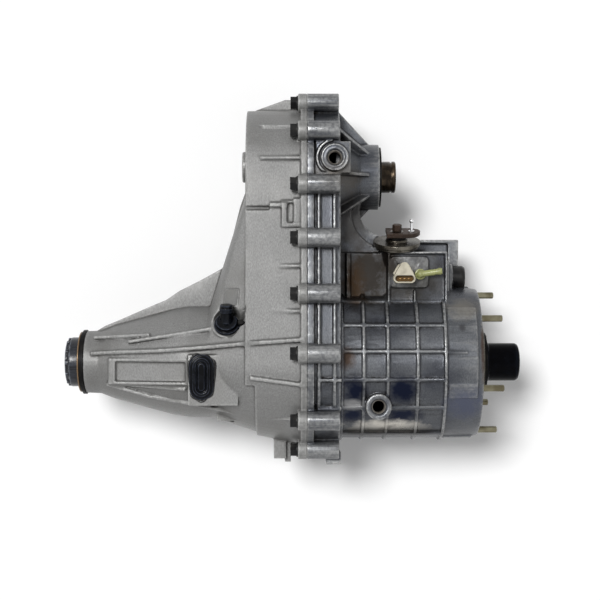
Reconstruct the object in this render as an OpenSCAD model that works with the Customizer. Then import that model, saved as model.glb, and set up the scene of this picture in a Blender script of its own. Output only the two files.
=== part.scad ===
/* [Shafts and chain] */
// Pitch of the drive chain
chain_pitch = 11.1125; // [10.5:0.0125:11.5]
// Teeth on each chain sprocket
sprocket_teeth = 35; // [35]
// Links in the drive chain
chain_links = 76; // [76]
// Width of the chain and of the sprocket teeth
chain_w = 38; // [34:0.5:40]
// Radius of the rear output shaft under its splines
main_r = 17; // [16:0.25:18]
// Outer radius of the input shaft's snout
snout_r = 19; // [18.5:0.25:20]
// Radius of the splined socket in the input shaft
input_socket_r = 14.5; // [13:0.25:15.5]
// Radius of the front output shaft's end
front_end_r = 19.3; // [18.5:0.1:20]
// Radius of the splined socket in the front output shaft
front_socket_r = 13; // [12:0.25:14]

/* [Cases] */
// Length of the front case from its mounting face to the joint
front_case_l = 207; // [205:0.5:210]
// Length of the rear case's chain housing
rear_case_l = 73; // [72:0.5:76]
// Length of the rear extension behind the chain housing
tail_l = 198; // [196:0.5:202]
// Wall of the cast housings
wall = 5; // [4:0.5:6]
// Radius of the chain housing round the main shaft, at the joint
main_housing_r = 100; // [99:0.5:101]
// Radius of the chain housing round the front output shaft, at the joint
front_housing_r = 82; // [81:0.5:83]
// Draft of the rear case from the joint to its rear face, at the main shaft
rear_draft = 12; // [9:0.5:13]
// How far the joint flange stands out of the housing
flange_out = 6; // [4:0.5:7]
// Radius of the ribbed planetary drum
drum_r = 93; // [92:0.5:94]
// Height of the grid ribs on the drum
rib_h = 2.5; // [1.5:0.5:3.5]
// Width of the grid ribs on the drum
rib_w = 3.4; // [2.4:0.2:4.2]
// Radius of the bearing housing at the front output
output_housing_r = 40; // [39.5:0.5:42]
// Radius of the rear extension where it leaves the chain housing
tail_root_r = 68; // [66:0.5:69]
// Radius of the rear extension's end
tail_end_r = 38; // [37:0.5:39]

/* [Fasteners and ports] */
// Radius of the joint bolts' bosses
boss_r = 11.5; // [10.5:0.5:12]
// Radius of the joint bolts' shanks
bolt_r = 4.9; // [4:0.1:5.2]
// Radius of the bolt heads over their corners
bolt_head_r = 8.4; // [7.6:0.1:9]
// Height of the bolt heads
bolt_head_h = 9; // [7:0.2:11]
// Radius of the circle of mounting studs
stud_circle_r = 83.4; // [82:0.2:84]
// Radius of the mounting studs
stud_r = 4; // [3.5:0.25:5]
// Length of the mounting studs outside the face
stud_out = 25; // [20:1:32]
// Radius of the lower threaded port
lower_port_r = 8.2; // [7:0.2:9]
// Radius of the upper threaded port
upper_port_r = 8.2; // [6:0.2:9]

/* [Planetary gears] */
// Module of the planetary gear teeth
gear_module = 1.75; // [1.72:0.01:1.76]
// Width of the planetary gear teeth
gear_w = 30; // [27:0.5:31]
// Backlash between meshing flanks
backlash = 0.36; // [0.3:0.02:0.44]

/* [Shift mechanism] */
// Distance of the shift rail from the main shaft
rail_y = 104; // [103:0.5:105]
// Radius of the shift rail
rail_r = 8; // [7:0.25:8.5]
// Place of the selector shaft along the case
select_x = -98.9; // [-100:0.1:-98]
// Lean of the selector shaft towards the top face
select_lean = 18; // [16:0.5:20]
// Radius of the selector shaft
select_r = 8; // [7:0.25:8.5]
// Arm of the selector's drive pin
select_arm = 26; // [25.5:0.25:26.5]

/* [Hidden] */
$fn = 64;

// Running gaps and seats
seat_gap = 0.05;
run_gap = 0.1;
near_gap = 0.3;
// How far straight walls sit inside the arcs that they run into
skin = 0.02;
cut = 1;

// Shaft layout
shaft_spacing = (chain_links - sprocket_teeth) * chain_pitch / 2;
split_x = -front_case_l;
rear_x = split_x - rear_case_l;
tail_x = rear_x - tail_l;
drum_end_x = split_x + 39;
rear_main_r = main_housing_r - rear_draft;
rear_front_r = front_housing_r - 1;
cavity_main_r = main_housing_r - wall;
cavity_front_r = front_housing_r - wall;
drum_cavity_r = 84;

// Joint bolts: place along Y, and how far their line lies outside the housing
bolt_ys = [314.5, 276, 212, 149, 84, 14.5, -64.7, -104];
bolt_out = 11;
front_boss_l = drum_end_x - split_x - 0.5;
rear_boss_l = 11;
rear_flange_l = 7.5;
front_flange_l = 8;

// Grid ribs: places along Y and along X
rib_ys = [76.3, 46.9, 16.2, -17, -50.8, -85];
rib_xs = [-77.5, -112.6, -140.7];
rib_top_r = drum_r + rib_h;

// Mounting collar and studs
collar_l = 43;
collar_r = 92.5;
collar_nose_l = 10;
collar_face_r = 90;
stud_seat = 22;
stud_first = 49.3;

// Input bearing, retainer and seal
bearing_seat_r = 45;
bearing_x = -6;
bearing_w = 22;
journal_r = 25;
retainer_r = 58;
// The retainer sits this far into the mounting face
face_recess = 2;
retainer_t = 6;
seal_r = 36;
seal_t = 6;
seal_bore_r = 28;
snout_x = 44;
socket_lead_r = input_socket_r + 1.7;
hub_wall = 8;

// Planetary set, counted in teeth
sun_n = 50;
planet_n = 18;
ring_n = 86;
planets = 4;
sun_pitch_r = gear_module * sun_n / 2;
planet_pitch_r = gear_module * planet_n / 2;
ring_pitch_r = gear_module * ring_n / 2;
orbit_r = sun_pitch_r + planet_pitch_r;
gear_front_x = -46;
gear_rear_x = gear_front_x - gear_w;
pin_r = 6;
carrier_r = 70.5;
carrier_t = 6;
carrier_gap = 3;
addendum = 0.9;
dedendum = 1.15;

// Range clutch
dog_r = 24.3;
dog_n = 24;
dog_w = 6.5;
dog_x = gear_rear_x + 5;
hub_neck_r = 21.5;
groove_front_x = -106.5;
groove_w = 8;
groove_r = 27;
groove_rim_r = 36;
groove_rim_t = 4;
spline_n = 24;
spline_h = 1.6;

// Mode clutch
mode_hub_x = split_x + 35;
mode_hub_l = 24;
mode_hub_r = 33;
mode_n = 36;
sleeve_x = split_x + 29.5;
sleeve_l = 26;
sleeve_r = 44;
sleeve_groove_l = 7;
sleeve_groove_r = 39;
clutch_x = split_x + 9.5;
clutch_l = 8.5;

// Chain run
sprocket_x = split_x - 11.5;
sprocket_pitch_r = chain_pitch / (2 * sin(180 / sprocket_teeth));
sprocket_root_r = sprocket_pitch_r - 8.5;
sprocket_tip_r = sprocket_pitch_r - 3.8;
link_slots = 5;
chain_pin_r = 2.3;
needle_r = 1.5;
main_journal_r = 20;
// Pilot at the rear output
pilot_r = main_r - 1.5;
pilot_l = 11;

// Rear of the main shaft
rear_bearing_x = rear_x + 4;
rear_bearing_w = 18;
rear_bearing_r = 45;
tone_x = rear_x - 18;
tone_w = 10;
tone_r = 39;
tone_n = 40;
tone_room_r = 44.2;
pump_x = rear_x - 33;
pickup_y = 10;
pickup_z = -53;
pickup_r = 5;
pump_l = 22;
pump_r = 44;
pump_cover_t = 4;
pump_lobes = 7;
pump_pin_circle_r = 33;
pump_pin_r = 5;
pump_offset = 2;
pump_ring_r = 36.2;
pump_rotor_r = 38.8;
bushing_l = 26;
bushing_r = 28;
bushing_bore_r = 24.5;
bushing_x = tail_x + 8;
tail_seat_r = 33;
tail_seal_r = 39.5;
tail_seal_bore_r = 26.3;

// Front output
front_bearing_r = 36;
front_bearing_w = 20;
front_bearing_x = drum_end_x + 47;
front_face_x = drum_end_x + 49;
front_seal_r = 36.5;
front_seal_t = 2.4;
front_end_x = drum_end_x + 69.8;
front_neck_r = 20;
front_lead_r = front_socket_r + 1.6;
front_seat_r = 26;
front_rear_bearing_r = 26;
front_rear_journal_r = 15;

// Shift box on the near side of the front case
box_front_x = -40;
box_step_x = -111;
box_top_y = 134;
box_near_z = 58;
box_low_z = 46;
box_far_z = -38;
box_wall = 6;
lever_local_y = 53;
// The drive pin lies straight below the shaft in the middle of its travel
pin_rest_turn = 8.5;
pin_half_w = 4.3;
rail_front_x = -52.5;
rail_rear_x = rear_x + 19;

// Places of the fixtures on the near side
lower_port = [-123.4, -48.7, 92];
upper_port = [split_x + 32.5, 244, 86];
switch_at = [-92.6, 108];
port_chamfer = 2.4;
vent_at = [-72.8, 107];
grommet_at = [rear_x - 52, -15];
pad_top_z = 71;
sensor_angle = 52;
sensor_x = tone_x - tone_w / 2;
sensor_seat = main_housing_r - 26;
sensor_ear = 17.5;

cast_front = [0.5, 0.51, 0.53];
cast_rear = [0.66, 0.65, 0.63];
steel = [0.55, 0.55, 0.56];
black = [0.06, 0.06, 0.065];

// Solids along X, placed by their front and rear ends
module xc(r, x0, x1, y = 0, z = 0) {
    translate([min(x0, x1), y, z]) rotate([0, 90, 0]) cylinder(r = r, h = abs(x1 - x0));
}
module xcone(r0, r1, x0, x1, y = 0, z = 0) {
    translate([x0, y, z]) rotate([0, x1 > x0 ? 90 : -90, 0])
        cylinder(r1 = r0, r2 = r1, h = abs(x1 - x0));
}
module xtube(ro, ri, x0, x1, y = 0, z = 0) {
    difference() {
        xc(ro, x0, x1, y, z);
        xc(ri, min(x0, x1) - cut, max(x0, x1) + cut, y, z);
    }
}
module xprism(x0, x1, y = 0, z = 0) {
    translate([min(x0, x1), y, z]) rotate([90, 0, 90])
        linear_extrude(abs(x1 - x0)) children();
}
module block(x0, x1, y0, y1, z0, z1) {
    translate([min(x0, x1), min(y0, y1), min(z0, z1)])
        cube([abs(x1 - x0), abs(y1 - y0), abs(z1 - z0)]);
}

// The chain housing's outline: two circles and their tangents
function lean_of(r0, r1) = asin((r0 - r1) / shaft_spacing);
function tangent(r, c, a, s) = [c + r * sin(a), s * r * cos(a)];
module outline(r0, r1) {
    a = lean_of(r0, r1);
    circle(r = r0);
    translate([shaft_spacing, 0]) circle(r = r1);
    t0 = r0 - skin;
    t1 = r1 - skin;
    polygon([tangent(t0, 0, a, 1), tangent(t1, shaft_spacing, a, 1),
        tangent(t1, shaft_spacing, a, -1), tangent(t0, 0, a, -1)]);
}
// Height of that outline over a place along Y
function rim_z(y, r0, r1) = let(a = lean_of(r0, r1),
    yr = y - shaft_spacing)
    y < r0 * sin(a) ? sqrt(max(0, r0 * r0 - y * y)) :
    y > shaft_spacing + r1 * sin(a) ? sqrt(max(0, r1 * r1 - yr * yr)) :
    (r0 - sin(a) * y) / cos(a);
function bolt_z(y) = rim_z(y, main_housing_r + bolt_out, front_housing_r + bolt_out);
bolt_spots = [for (s = [1, -1]) for (y = bolt_ys) [y, s * bolt_z(y)]];
dowel_spots = [[180, -bolt_z(180)], [-30, -bolt_z(-30)]];
dowel_r = 4;
stud_spots = [for (i = [0:5]) turn(stud_circle_r, stud_first + 60 * i)];
rail_plug_r = 12;
rail_plug_x = box_front_x + 5;

// Toothed outlines
function turn(r, a) = [r * cos(a), r * sin(a)];
function cog(n, r0, r1, w0, w1, phase = 0) = [for (i = [0:n - 1])
    let(a = phase + 360 * i / n)
    for (p = [[r0, -w0], [r1, -w1], [r1, w1], [r0, w0]])
        turn(p[0], a + asin(p[1] / p[0]))];
function involute(a) = tan(a) * 180 / PI - a;
function half_tooth(n, rp, r, play) = let(rb = rp * cos(20))
    90 / n + involute(20) - involute(acos(min(1, rb / max(r, rb))))
    - play / (2 * rp) * 180 / PI;
flank_steps = 4;
function gear(n, rp, r0, r1, play, phase = 0) = [for (i = [0:n - 1])
    let(a = phase + 360 * i / n)
    for (j = [0:2 * flank_steps + 1])
        let(up = j <= flank_steps,
            t = up ? j / flank_steps : (2 * flank_steps + 1 - j) / flank_steps,
            r = r0 + (r1 - r0) * t,
            h = half_tooth(n, rp, r, play))
        turn(r, a + (up ? -h : h))];

// Rolling bearings
module ball_bearing(ro, ri, x0, w, y = 0) {
    ball = (ro - ri) * 0.3;
    mid = (ro + ri) / 2;
    count = floor(360 / (2 * asin(ball / mid)) * 0.86);
    xtube(ro, mid + ball * 0.62, x0, x0 - w, y);
    xtube(mid - ball * 0.62, ri, x0, x0 - w, y);
}
module bearing_balls(ro, ri, x0, w, y = 0) {
    ball = (ro - ri) * 0.3;
    mid = (ro + ri) / 2;
    count = floor(360 / (2 * asin(ball / mid)) * 0.86);
    for (i = [0:count - 1]) translate([x0 - w / 2, y + mid * cos(360 * i / count),
        mid * sin(360 * i / count)]) sphere(r = ball, $fn = 32);
}
module raced_bearing(ro, ri, x0, w, y = 0) {
    ball = (ro - ri) * 0.3;
    mid = (ro + ri) / 2;
    difference() {
        ball_bearing(ro, ri, x0, w, y);
        translate([x0 - w / 2, y, 0]) rotate([0, 90, 0]) rotate_extrude()
            translate([mid, 0]) circle(r = ball + run_gap);
    }
    bearing_balls(ro, ri, x0, w, y);
}
module rollers(n, r, orbit, x0, x1, y = 0) {
    for (i = [0:n - 1]) xc(r, x0, x1, y + orbit * cos(360 * i / n), orbit * sin(360 * i / n));
}

// The selector shaft's own frame: its Y runs up the shaft
module select_frame() {
    translate([select_x, rail_y, select_arm]) rotate([select_lean, 0, 0]) children();
}
module yc(r, y0, y1, x = 0, z = 0) {
    translate([x, y0, z]) rotate([-90, 0, 0]) cylinder(r = r, h = y1 - y0);
}

// Front case: drum, chain housing, shift box and bosses
module drum_ribs() {
    intersection() {
        xc(rib_top_r, drum_end_x - cut, -collar_l);
        union() {
            for (y = rib_ys) block(drum_end_x, -collar_l, y - rib_w / 2, y + rib_w / 2,
                -rib_top_r, rib_top_r);
            for (x = rib_xs) xc(rib_top_r, x - rib_w / 2, x + rib_w / 2);
        }
    }
    xc(rib_top_r + 0.5, -collar_l - rib_w, -collar_l);
    xc(rib_top_r + 0.5, drum_end_x, drum_end_x + rib_w);
}
function rim(y) = rim_z(y, main_housing_r, front_housing_r);
function rear_rim(y) = rim_z(y, rear_main_r, rear_front_r);
module lower_panel_ribs() {
    for (y = [-17, -50.8]) for (s = [1, -1])
        block(split_x + 13, drum_end_x + cut, y - rib_w / 2, y + rib_w / 2,
            s * (rim(y) - 4), s * (rim(y) + rib_h));
}
module boss_frames() {
    // Raised frames on the wall between neighbouring bolt bosses
    for (s = [1, -1]) for (i = [2:5]) {
        y0 = bolt_ys[i + 1] + boss_r - 2;
        y1 = bolt_ys[i] - boss_r + 2;
        for (x = [split_x + 12, split_x + 30])
            slab_between(x, x + 3.5, y0, y1, s, 3.2);
    }
}
// A strip that lies on the flank between two places along Y
module slab_between(x0, x1, y0, y1, s, h) {
    translate([x0, 0, 0]) rotate([90, 0, 90]) linear_extrude(x1 - x0)
        polygon([[y0, s * (rim(y0) - 6)], [y0, s * (rim(y0) + h)],
            [(y0 + y1) / 2, s * (rim((y0 + y1) / 2) + h)],
            [y1, s * (rim(y1) + h)], [y1, s * (rim(y1) - 6)]]);
}
module output_ribs() {
    root = front_housing_r - 1.3;
    for (a = [0, 50, 91, 130, 180, 230, 269, 310]) translate([0, shaft_spacing, 0])
        rotate([a, 0, 0]) translate([0, 0, -1.9]) linear_extrude(3.8)
            polygon([[drum_end_x - cut, 30], [drum_end_x - cut, root], [drum_end_x, root],
                [front_face_x - 12.5, output_housing_r + 1], [front_face_x - 12.5, 30]]);
}
module gusset() {
    gusset_x = drum_end_x + 56;
    // Web with a round bite below the front output, and its raised near rim
    difference() {
        block(drum_end_x - cut, gusset_x, box_top_y - 6, 215, -30, 24);
        translate([gusset_x, 185, -60]) cylinder(r = 31, h = 140);
        block(gusset_x - 29, gusset_x + 12, 190, 260, -60, 60);
    }
    difference() {
        block(drum_end_x - cut, gusset_x + 8, box_top_y - 6, 205, 10, 38);
        translate([gusset_x + 0.2, 181.3, -60]) cylinder(r = 42, h = 140);
        block(gusset_x - 38, gusset_x + 12, 185, 260, -60, 60);
    }
}
module round_pad(x, y, w, h, r, t) {
    linear_extrude(t) {
        translate([x + r, y]) square([w - 2 * r, h]);
        translate([x, y + r]) square([w, h - 2 * r]);
        for (i = [r, w - r]) for (j = [r, h - r]) translate([x + i, y + j]) circle(r = r);
    }
}
module shift_box() {
    block(drum_end_x - cut, box_step_x + cut, 30, box_top_y - 1, box_far_z, box_low_z);
    block(box_step_x, box_front_x, 30, box_top_y, box_far_z, box_near_z);
    // Ribs that frame the near face
    block(box_step_x, box_step_x + 2.6, 66, box_top_y, box_near_z - cut, box_near_z + 2.5);
    block(box_front_x - 2.6, box_front_x, 66, box_top_y, box_near_z - cut, box_near_z + 2.5);
    block(box_step_x, box_front_x, box_top_y - 2.6, box_top_y, box_near_z - cut,
        box_near_z + 2.5);
    block(-80, -77.4, 60, 88, box_near_z - 10, box_near_z + 2.5);
    block(drum_end_x + 8, drum_end_x + 13, 60, box_top_y - 1, box_low_z - cut, box_low_z + 5);
    // Raised pad under the switch and vent
    translate([0, 0, box_near_z - cut]) round_pad(-108.5, 91, 46, 37, 6, 3.5);
    // Front plate at the rail boss, and the block behind it
    block(box_front_x - cut, box_front_x + 5, 82, 124, -24, 34);
    block(box_front_x - cut, box_front_x + 9, 88, 120, -16, 26);
    block(-74, -19, 118, 150.5, -50, -22);
    block(-31, -18, 118, 151.5, -54, -18);
    block(-74, -18, 147, 151.5, -54, -18);
}
module front_case_solid() {
    xprism(split_x, drum_end_x) outline(main_housing_r, front_housing_r);
    xprism(split_x, split_x + front_flange_l)
        outline(main_housing_r + flange_out, front_housing_r + flange_out);
    for (p = bolt_spots) xc(boss_r, split_x, split_x + front_boss_l, p[0], p[1]);
    for (p = dowel_spots) xc(boss_r - 1.5, split_x, split_x + 20, p[0], p[1]);
    xc(drum_r, drum_end_x - cut, -collar_l);
    drum_ribs();
    lower_panel_ribs();
    boss_frames();
    xcone(collar_r, collar_r - 1, -collar_l - cut, -collar_nose_l);
    xcone(collar_r - 1, collar_face_r, -collar_nose_l, 0);
    shift_box();
    gusset();
    xc(output_housing_r, front_bearing_x - front_bearing_w - 3, front_face_x, shaft_spacing);
    xcone(front_housing_r - 18, output_housing_r, drum_end_x - cut, drum_end_x + 25, shaft_spacing);
    output_ribs();
    translate([lower_port[0], lower_port[1], 60]) cylinder(r = 15.2, h = lower_port[2] - 60);
    // Port block at the front output, with a round collar and a curved wall
    block(split_x + 10, split_x + 51, 226, 263, 40, upper_port[2] - 5);
    translate([upper_port[0], upper_port[1], 60]) {
        cylinder(r = 16, h = upper_port[2] - 60);
        intersection() {
            difference() {
                cylinder(r = 22, h = upper_port[2] - 62);
                translate([0, 0, -cut]) cylinder(r = 19.4, h = upper_port[2]);
            }
            translate([-22.5, -16, 0]) cube([20, 40, 60]);
        }
    }
    xc(16, box_front_x - cut, box_front_x + 12, rail_y);
    select_frame() yc(21, 20, 38);
    // Ribs and foot block under the lowest bolt boss
    for (z = [0, 16, 32]) block(split_x + 4, drum_end_x, -108, -88, z - 2, z + 2);
    block(split_x + 23, drum_end_x + 2, -123, -108, 8, 32);
}
module front_case_cavity() {
    xprism(split_x - cut, drum_end_x - wall) outline(cavity_main_r, cavity_front_r);
    xc(drum_cavity_r, split_x - cut, -34);
    xc(68, -35, -hub_wall - 2);
    block(drum_end_x - wall - cut, -84, 60, box_top_y - box_wall, box_far_z + box_wall,
        box_low_z - box_wall);
    block(box_step_x + 2, -84, 60, box_top_y - box_wall, box_far_z + box_wall,
        box_near_z - box_wall);
    block(-85, box_front_x - box_wall, 88, box_top_y - box_wall, box_far_z + box_wall,
        box_near_z - box_wall);
}
module front_case() {
    color(cast_front) difference() {
        union() {
            difference() {
                front_case_solid();
                front_case_cavity();
                xc(front_bearing_r - 2, drum_end_x - wall - cut,
                    front_bearing_x - front_bearing_w, shaft_spacing);
            }
            // Bearing hub inside the mounting face, and the inner bosses
            xc(bearing_seat_r + hub_wall, bearing_x - bearing_w - 4, -hub_wall);
            xc(rail_r + 5, rail_front_x - 20, box_front_x - box_wall + cut, rail_y);
            translate([lower_port[0], lower_port[1], 66]) cylinder(r = 13, h = 14);
            translate([upper_port[0], upper_port[1], 70]) cylinder(r = 12, h = 8);
        }
        xc(bearing_seat_r + seat_gap, bearing_x - bearing_w - 5, bearing_x);
        xc(bearing_seat_r - 6, bearing_x - cut, cut);
        xc(retainer_r + near_gap, -face_recess, cut);
        xc(front_bearing_r + seat_gap, front_bearing_x - front_bearing_w, front_face_x + cut,
            shaft_spacing);
        for (p = bolt_spots) xc(bolt_r + run_gap, split_x - cut, split_x + 30, p[0], p[1]);
        for (p = dowel_spots) xc(dowel_r + seat_gap, split_x - cut, split_x + 12, p[0], p[1]);
        for (p = stud_spots) xc(stud_r + 1 + seat_gap, -stud_seat, cut, p[0], p[1]);
        translate([lower_port[0], lower_port[1], 55])
            cylinder(r = lower_port_r, h = lower_port[2] - 50);
        translate([upper_port[0], upper_port[1], 60])
            cylinder(r = upper_port_r, h = upper_port[2] - 50);
        for (p = [lower_port, upper_port]) translate([p[0], p[1], p[2] - port_chamfer])
            cylinder(r1 = upper_port_r, r2 = upper_port_r + port_chamfer + 0.4,
                h = port_chamfer + 0.4);
        translate([upper_port[0], upper_port[1], upper_port[2] - 2]) difference() {
            cylinder(r = 14, h = 5);
            translate([0, 0, -cut]) cylinder(r = 12.2, h = 8);
        }
        xc(rail_r + run_gap, rail_front_x - 21, rail_plug_x - 2, rail_y);
        xc(rail_plug_r + seat_gap, rail_plug_x - 3, rail_plug_x + 20, rail_y);
        // Room for the plug, and the seat of the selector's retainer
        xc(rail_plug_r + 3, rail_plug_x + 7, 2, rail_y);
        select_frame() yc(29, 38, 70);
        select_frame() yc(select_r + run_gap, 10, 40);
        translate([switch_at[0], switch_at[1], 30]) cylinder(r = 9 + seat_gap, h = 40);
        translate([vent_at[0], vent_at[1], 30]) cylinder(r = 4 + seat_gap, h = 40);
    }
}

// Rear case: chain housing, extension, ribs and brackets
tail_profile = [[4, tail_root_r + 8], [-10, tail_root_r + 2], [-44, tail_root_r],
    [-71, tail_root_r], [-90, tail_root_r - 3], [-120, tail_root_r - 11],
    [-162, 45.5], [-180, tail_end_r + 0.6], [-tail_l, tail_end_r]];
module along_x(points, x0) {
    translate([x0, 0, 0]) rotate([0, 90, 0]) rotate_extrude()
        polygon([for (p = concat([[points[0][0], 0]], points,
            [[points[len(points) - 1][0], 0]])) [p[1], p[0]]]);
}
// The flat web above the extension, seen from the side
web_top = [[2, 222], [-9, 192], [-18, 156], [-28, 117], [-59, 100], [-84, 87.5],
    [-100, 76.5], [-121, 67.8], [-158, 51.6], [-176, 44.2], [-tail_l + 6, 34]];
module web(t) {
    translate([rear_x, 0, -t / 2]) linear_extrude(t)
        polygon(concat(web_top, [[-tail_l + 8, 0], [2, 0]]));
}
module shoulder() {
    // The flare between the chain housing and the extension
    hull() {
        xc(rear_main_r - 3, rear_x + 9, rear_x + 13);
        xc(31, rear_x + 1, rear_x + 3, 186);
        xc(tail_root_r - 1, rear_x - 46, rear_x - 44);
        xc(20, rear_x - 27, rear_x - 25, 92);
    }
}
fin_ys = [283, 243.5, 116, 63.5, -64];
module side_fins() {
    for (s = [1, -1]) for (y = fin_ys) translate([0, y + 1.8, 0]) rotate([90, 0, 0])
        linear_extrude(3.6) polygon([[split_x - 3, s * (rim(y) - 6)],
            [split_x - 3, s * (rim(y) + 4.6)], [split_x - rear_flange_l, s * (rim(y) + 4.2)],
            [rear_x + 20, s * (rear_rim(y) + 3.4)], [rear_x + 14, s * (rear_rim(y) - 1)],
            [rear_x + 14, s * (rear_rim(y) - 6)]]);
}
// A rib on the near side that runs between two places on the extension
module ridge(a, b, w, h) {
    d = b - a;
    translate([a[0], a[1], 0]) rotate([0, 0, atan2(d[1], d[0])]) rotate([90, 0, 0])
        translate([0, 0, -w / 2]) linear_extrude(w)
            polygon([[0, a[2] - 9], [0, a[2] + h], [norm([d[0], d[1]]), b[2] + h],
                [norm([d[0], d[1]]), b[2] - 9]]);
}
module long_ribs() {
    ridge([tail_x + 10, 11.6, 38.6], [tail_x + 36, 13.4, 46], 4, 1.2);
    ridge([tail_x + 36, 13.4, 46], [rear_x - 104, 15.8, 63.5], 4.2, 1.2);
    ridge([rear_x - 104, 15.8, 63.5], [rear_x - 50, 20, 70.5], 4.4, 1.2);
    ridge([rear_x - 50, 20, 70.5], [rear_x - 4, 24.6, 82], 4.6, 1.2);
    ridge([rear_x - 4, 24.6, 82], [rear_x + 18, 26.6, 97], 4.6, 1.2);
    ridge([rear_x + 18, 26.6, 97], [split_x - 3, 30.4, 103.5], 4.6, 1.2);
    ridge([tail_x + 56, 26, 50], [rear_x - 104, 32, 57], 3.6, 1.2);
    ridge([rear_x - 106, 31.7, 57], [rear_x - 38, 42.6, 58], 3.8, 1.2);
    ridge([tail_x + 12, 30.5, 28], [tail_x + 82, 34.6, 50], 3.4, 1.2);
    ridge([tail_x + 29, -25, 39.5], [rear_x - 115, -40, 46], 3.6, 1.2);
    ridge([rear_x - 115, -40, 46], [rear_x - 64, -48.5, 52], 3.6, 1.2);
    ridge([rear_x - 64, -48.5, 52], [rear_x - 10, -60, 46], 3.6, 1.2);
    ridge([rear_x - 38, -23, 64], [rear_x + 8, -15.5, 82], 3.4, 1.2);
    ridge([rear_x - 38, -23, 64], [rear_x + 12, -26.5, 80], 3.4, 1.2);
    ridge([rear_x + 6, -15, 90], [split_x - 3, -22.8, 103], 4.4, 1.2);
    ridge([tail_x + 32, -24, 40], [rear_x - 72, -30.5, 62], 3.4, 1.2);
    ridge([rear_x - 7, 63, 62], [rear_x + 1, 63, 80], 3, 1.2);
    ridge([rear_x - 7, 53, 66], [rear_x + 1, 53, 82], 3, 1.2);
}
module top_bracket() {
    // Stepped rib, pocket and pad beside the fourth bolt
    z = rim(182);
    block(split_x - 44, split_x - 23, 185.5, 190.5, z - 12, z + 3);
    block(split_x - 30, split_x - 24, 162, 190.5, z - 12, z + 4.5);
    block(split_x - 30, split_x - 4, 162, 166.5, z - 12, z + 4.5);
    block(split_x - 30, split_x - 4, 190.5, 193, z - 12, z + 2);
    block(split_x - 16, split_x - 2, 166, 195, z - 12, z + 3.5);
}
module rear_case_solid() {
    difference() {
        hull() {
            xc(main_housing_r, split_x - 8, split_x);
            xc(front_housing_r, split_x - 8, split_x, shaft_spacing);
            xc(rear_main_r, rear_x, rear_x + 3);
            xc(rear_front_r, rear_x, rear_x + 3, shaft_spacing);
        }
        block(rear_x - cut, rear_x + 11.5, -130, -24, -130, 130);
    }
    xprism(split_x - rear_flange_l, split_x)
        outline(main_housing_r + flange_out, front_housing_r + flange_out);
    for (p = bolt_spots) xc(boss_r, split_x - rear_boss_l, split_x, p[0], p[1]);
    for (p = dowel_spots) xc(boss_r - 1.5, split_x - 10, split_x, p[0], p[1]);
    // Webs that carry the topmost and the lowest bolts
    translate([0, 0, -3]) linear_extrude(6) polygon([[split_x - 2, 300],
        [split_x - 2, 323], [split_x - 27, 323], [rear_x + 10, 310], [rear_x + 10, 290]]);
    translate([0, 0, -3]) linear_extrude(6) polygon([[split_x - 2, -90],
        [split_x - 2, -108], [split_x - 11, -104.5], [rear_x + 11.5, -85.5],
        [rear_x + 11.5, -70]]);
    // Pad on the rear wall behind the front output
    xc(19, rear_x - 6.5, rear_x + cut, 240);
    along_x(tail_profile, rear_x);
    web(12);
    shoulder();
    side_fins();
    long_ribs();
    top_bracket();
    plate_frame() block(-8.5, 8.5, -10.5, 10.5, -7, plate_seat);
    // Flat pad on the near side of the extension
    block(rear_x - 68, rear_x - 9, -49, 11, 20, pad_top_z);
    // Sloping frame round the recessed panel
    translate([0, 6, 0]) rotate([90, 0, 0]) linear_extrude(31)
        polygon([[tail_x + 32, 30], [tail_x + 32, 46.5], [rear_x - 64, 70], [rear_x - 64, 30]]);
    // Small pierced boss on the underside
    block(rear_x - 36, rear_x - 10, -70, -56, 14, 36);
    // Boss for the speed sensor
    translate([sensor_x, 0, 0]) rotate([sensor_angle, 0, 0]) {
        yc(17, 50, sensor_seat);
        yc(7, 50, sensor_seat, sensor_ear);
    }
    // Lug and pin under the rear case
    block(split_x - 40.6, split_x - 25.8, -117.6, -84, -14, 16);
    block(split_x - 27, split_x - 19.8, -122.5, -84, -8, 8);
}
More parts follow.
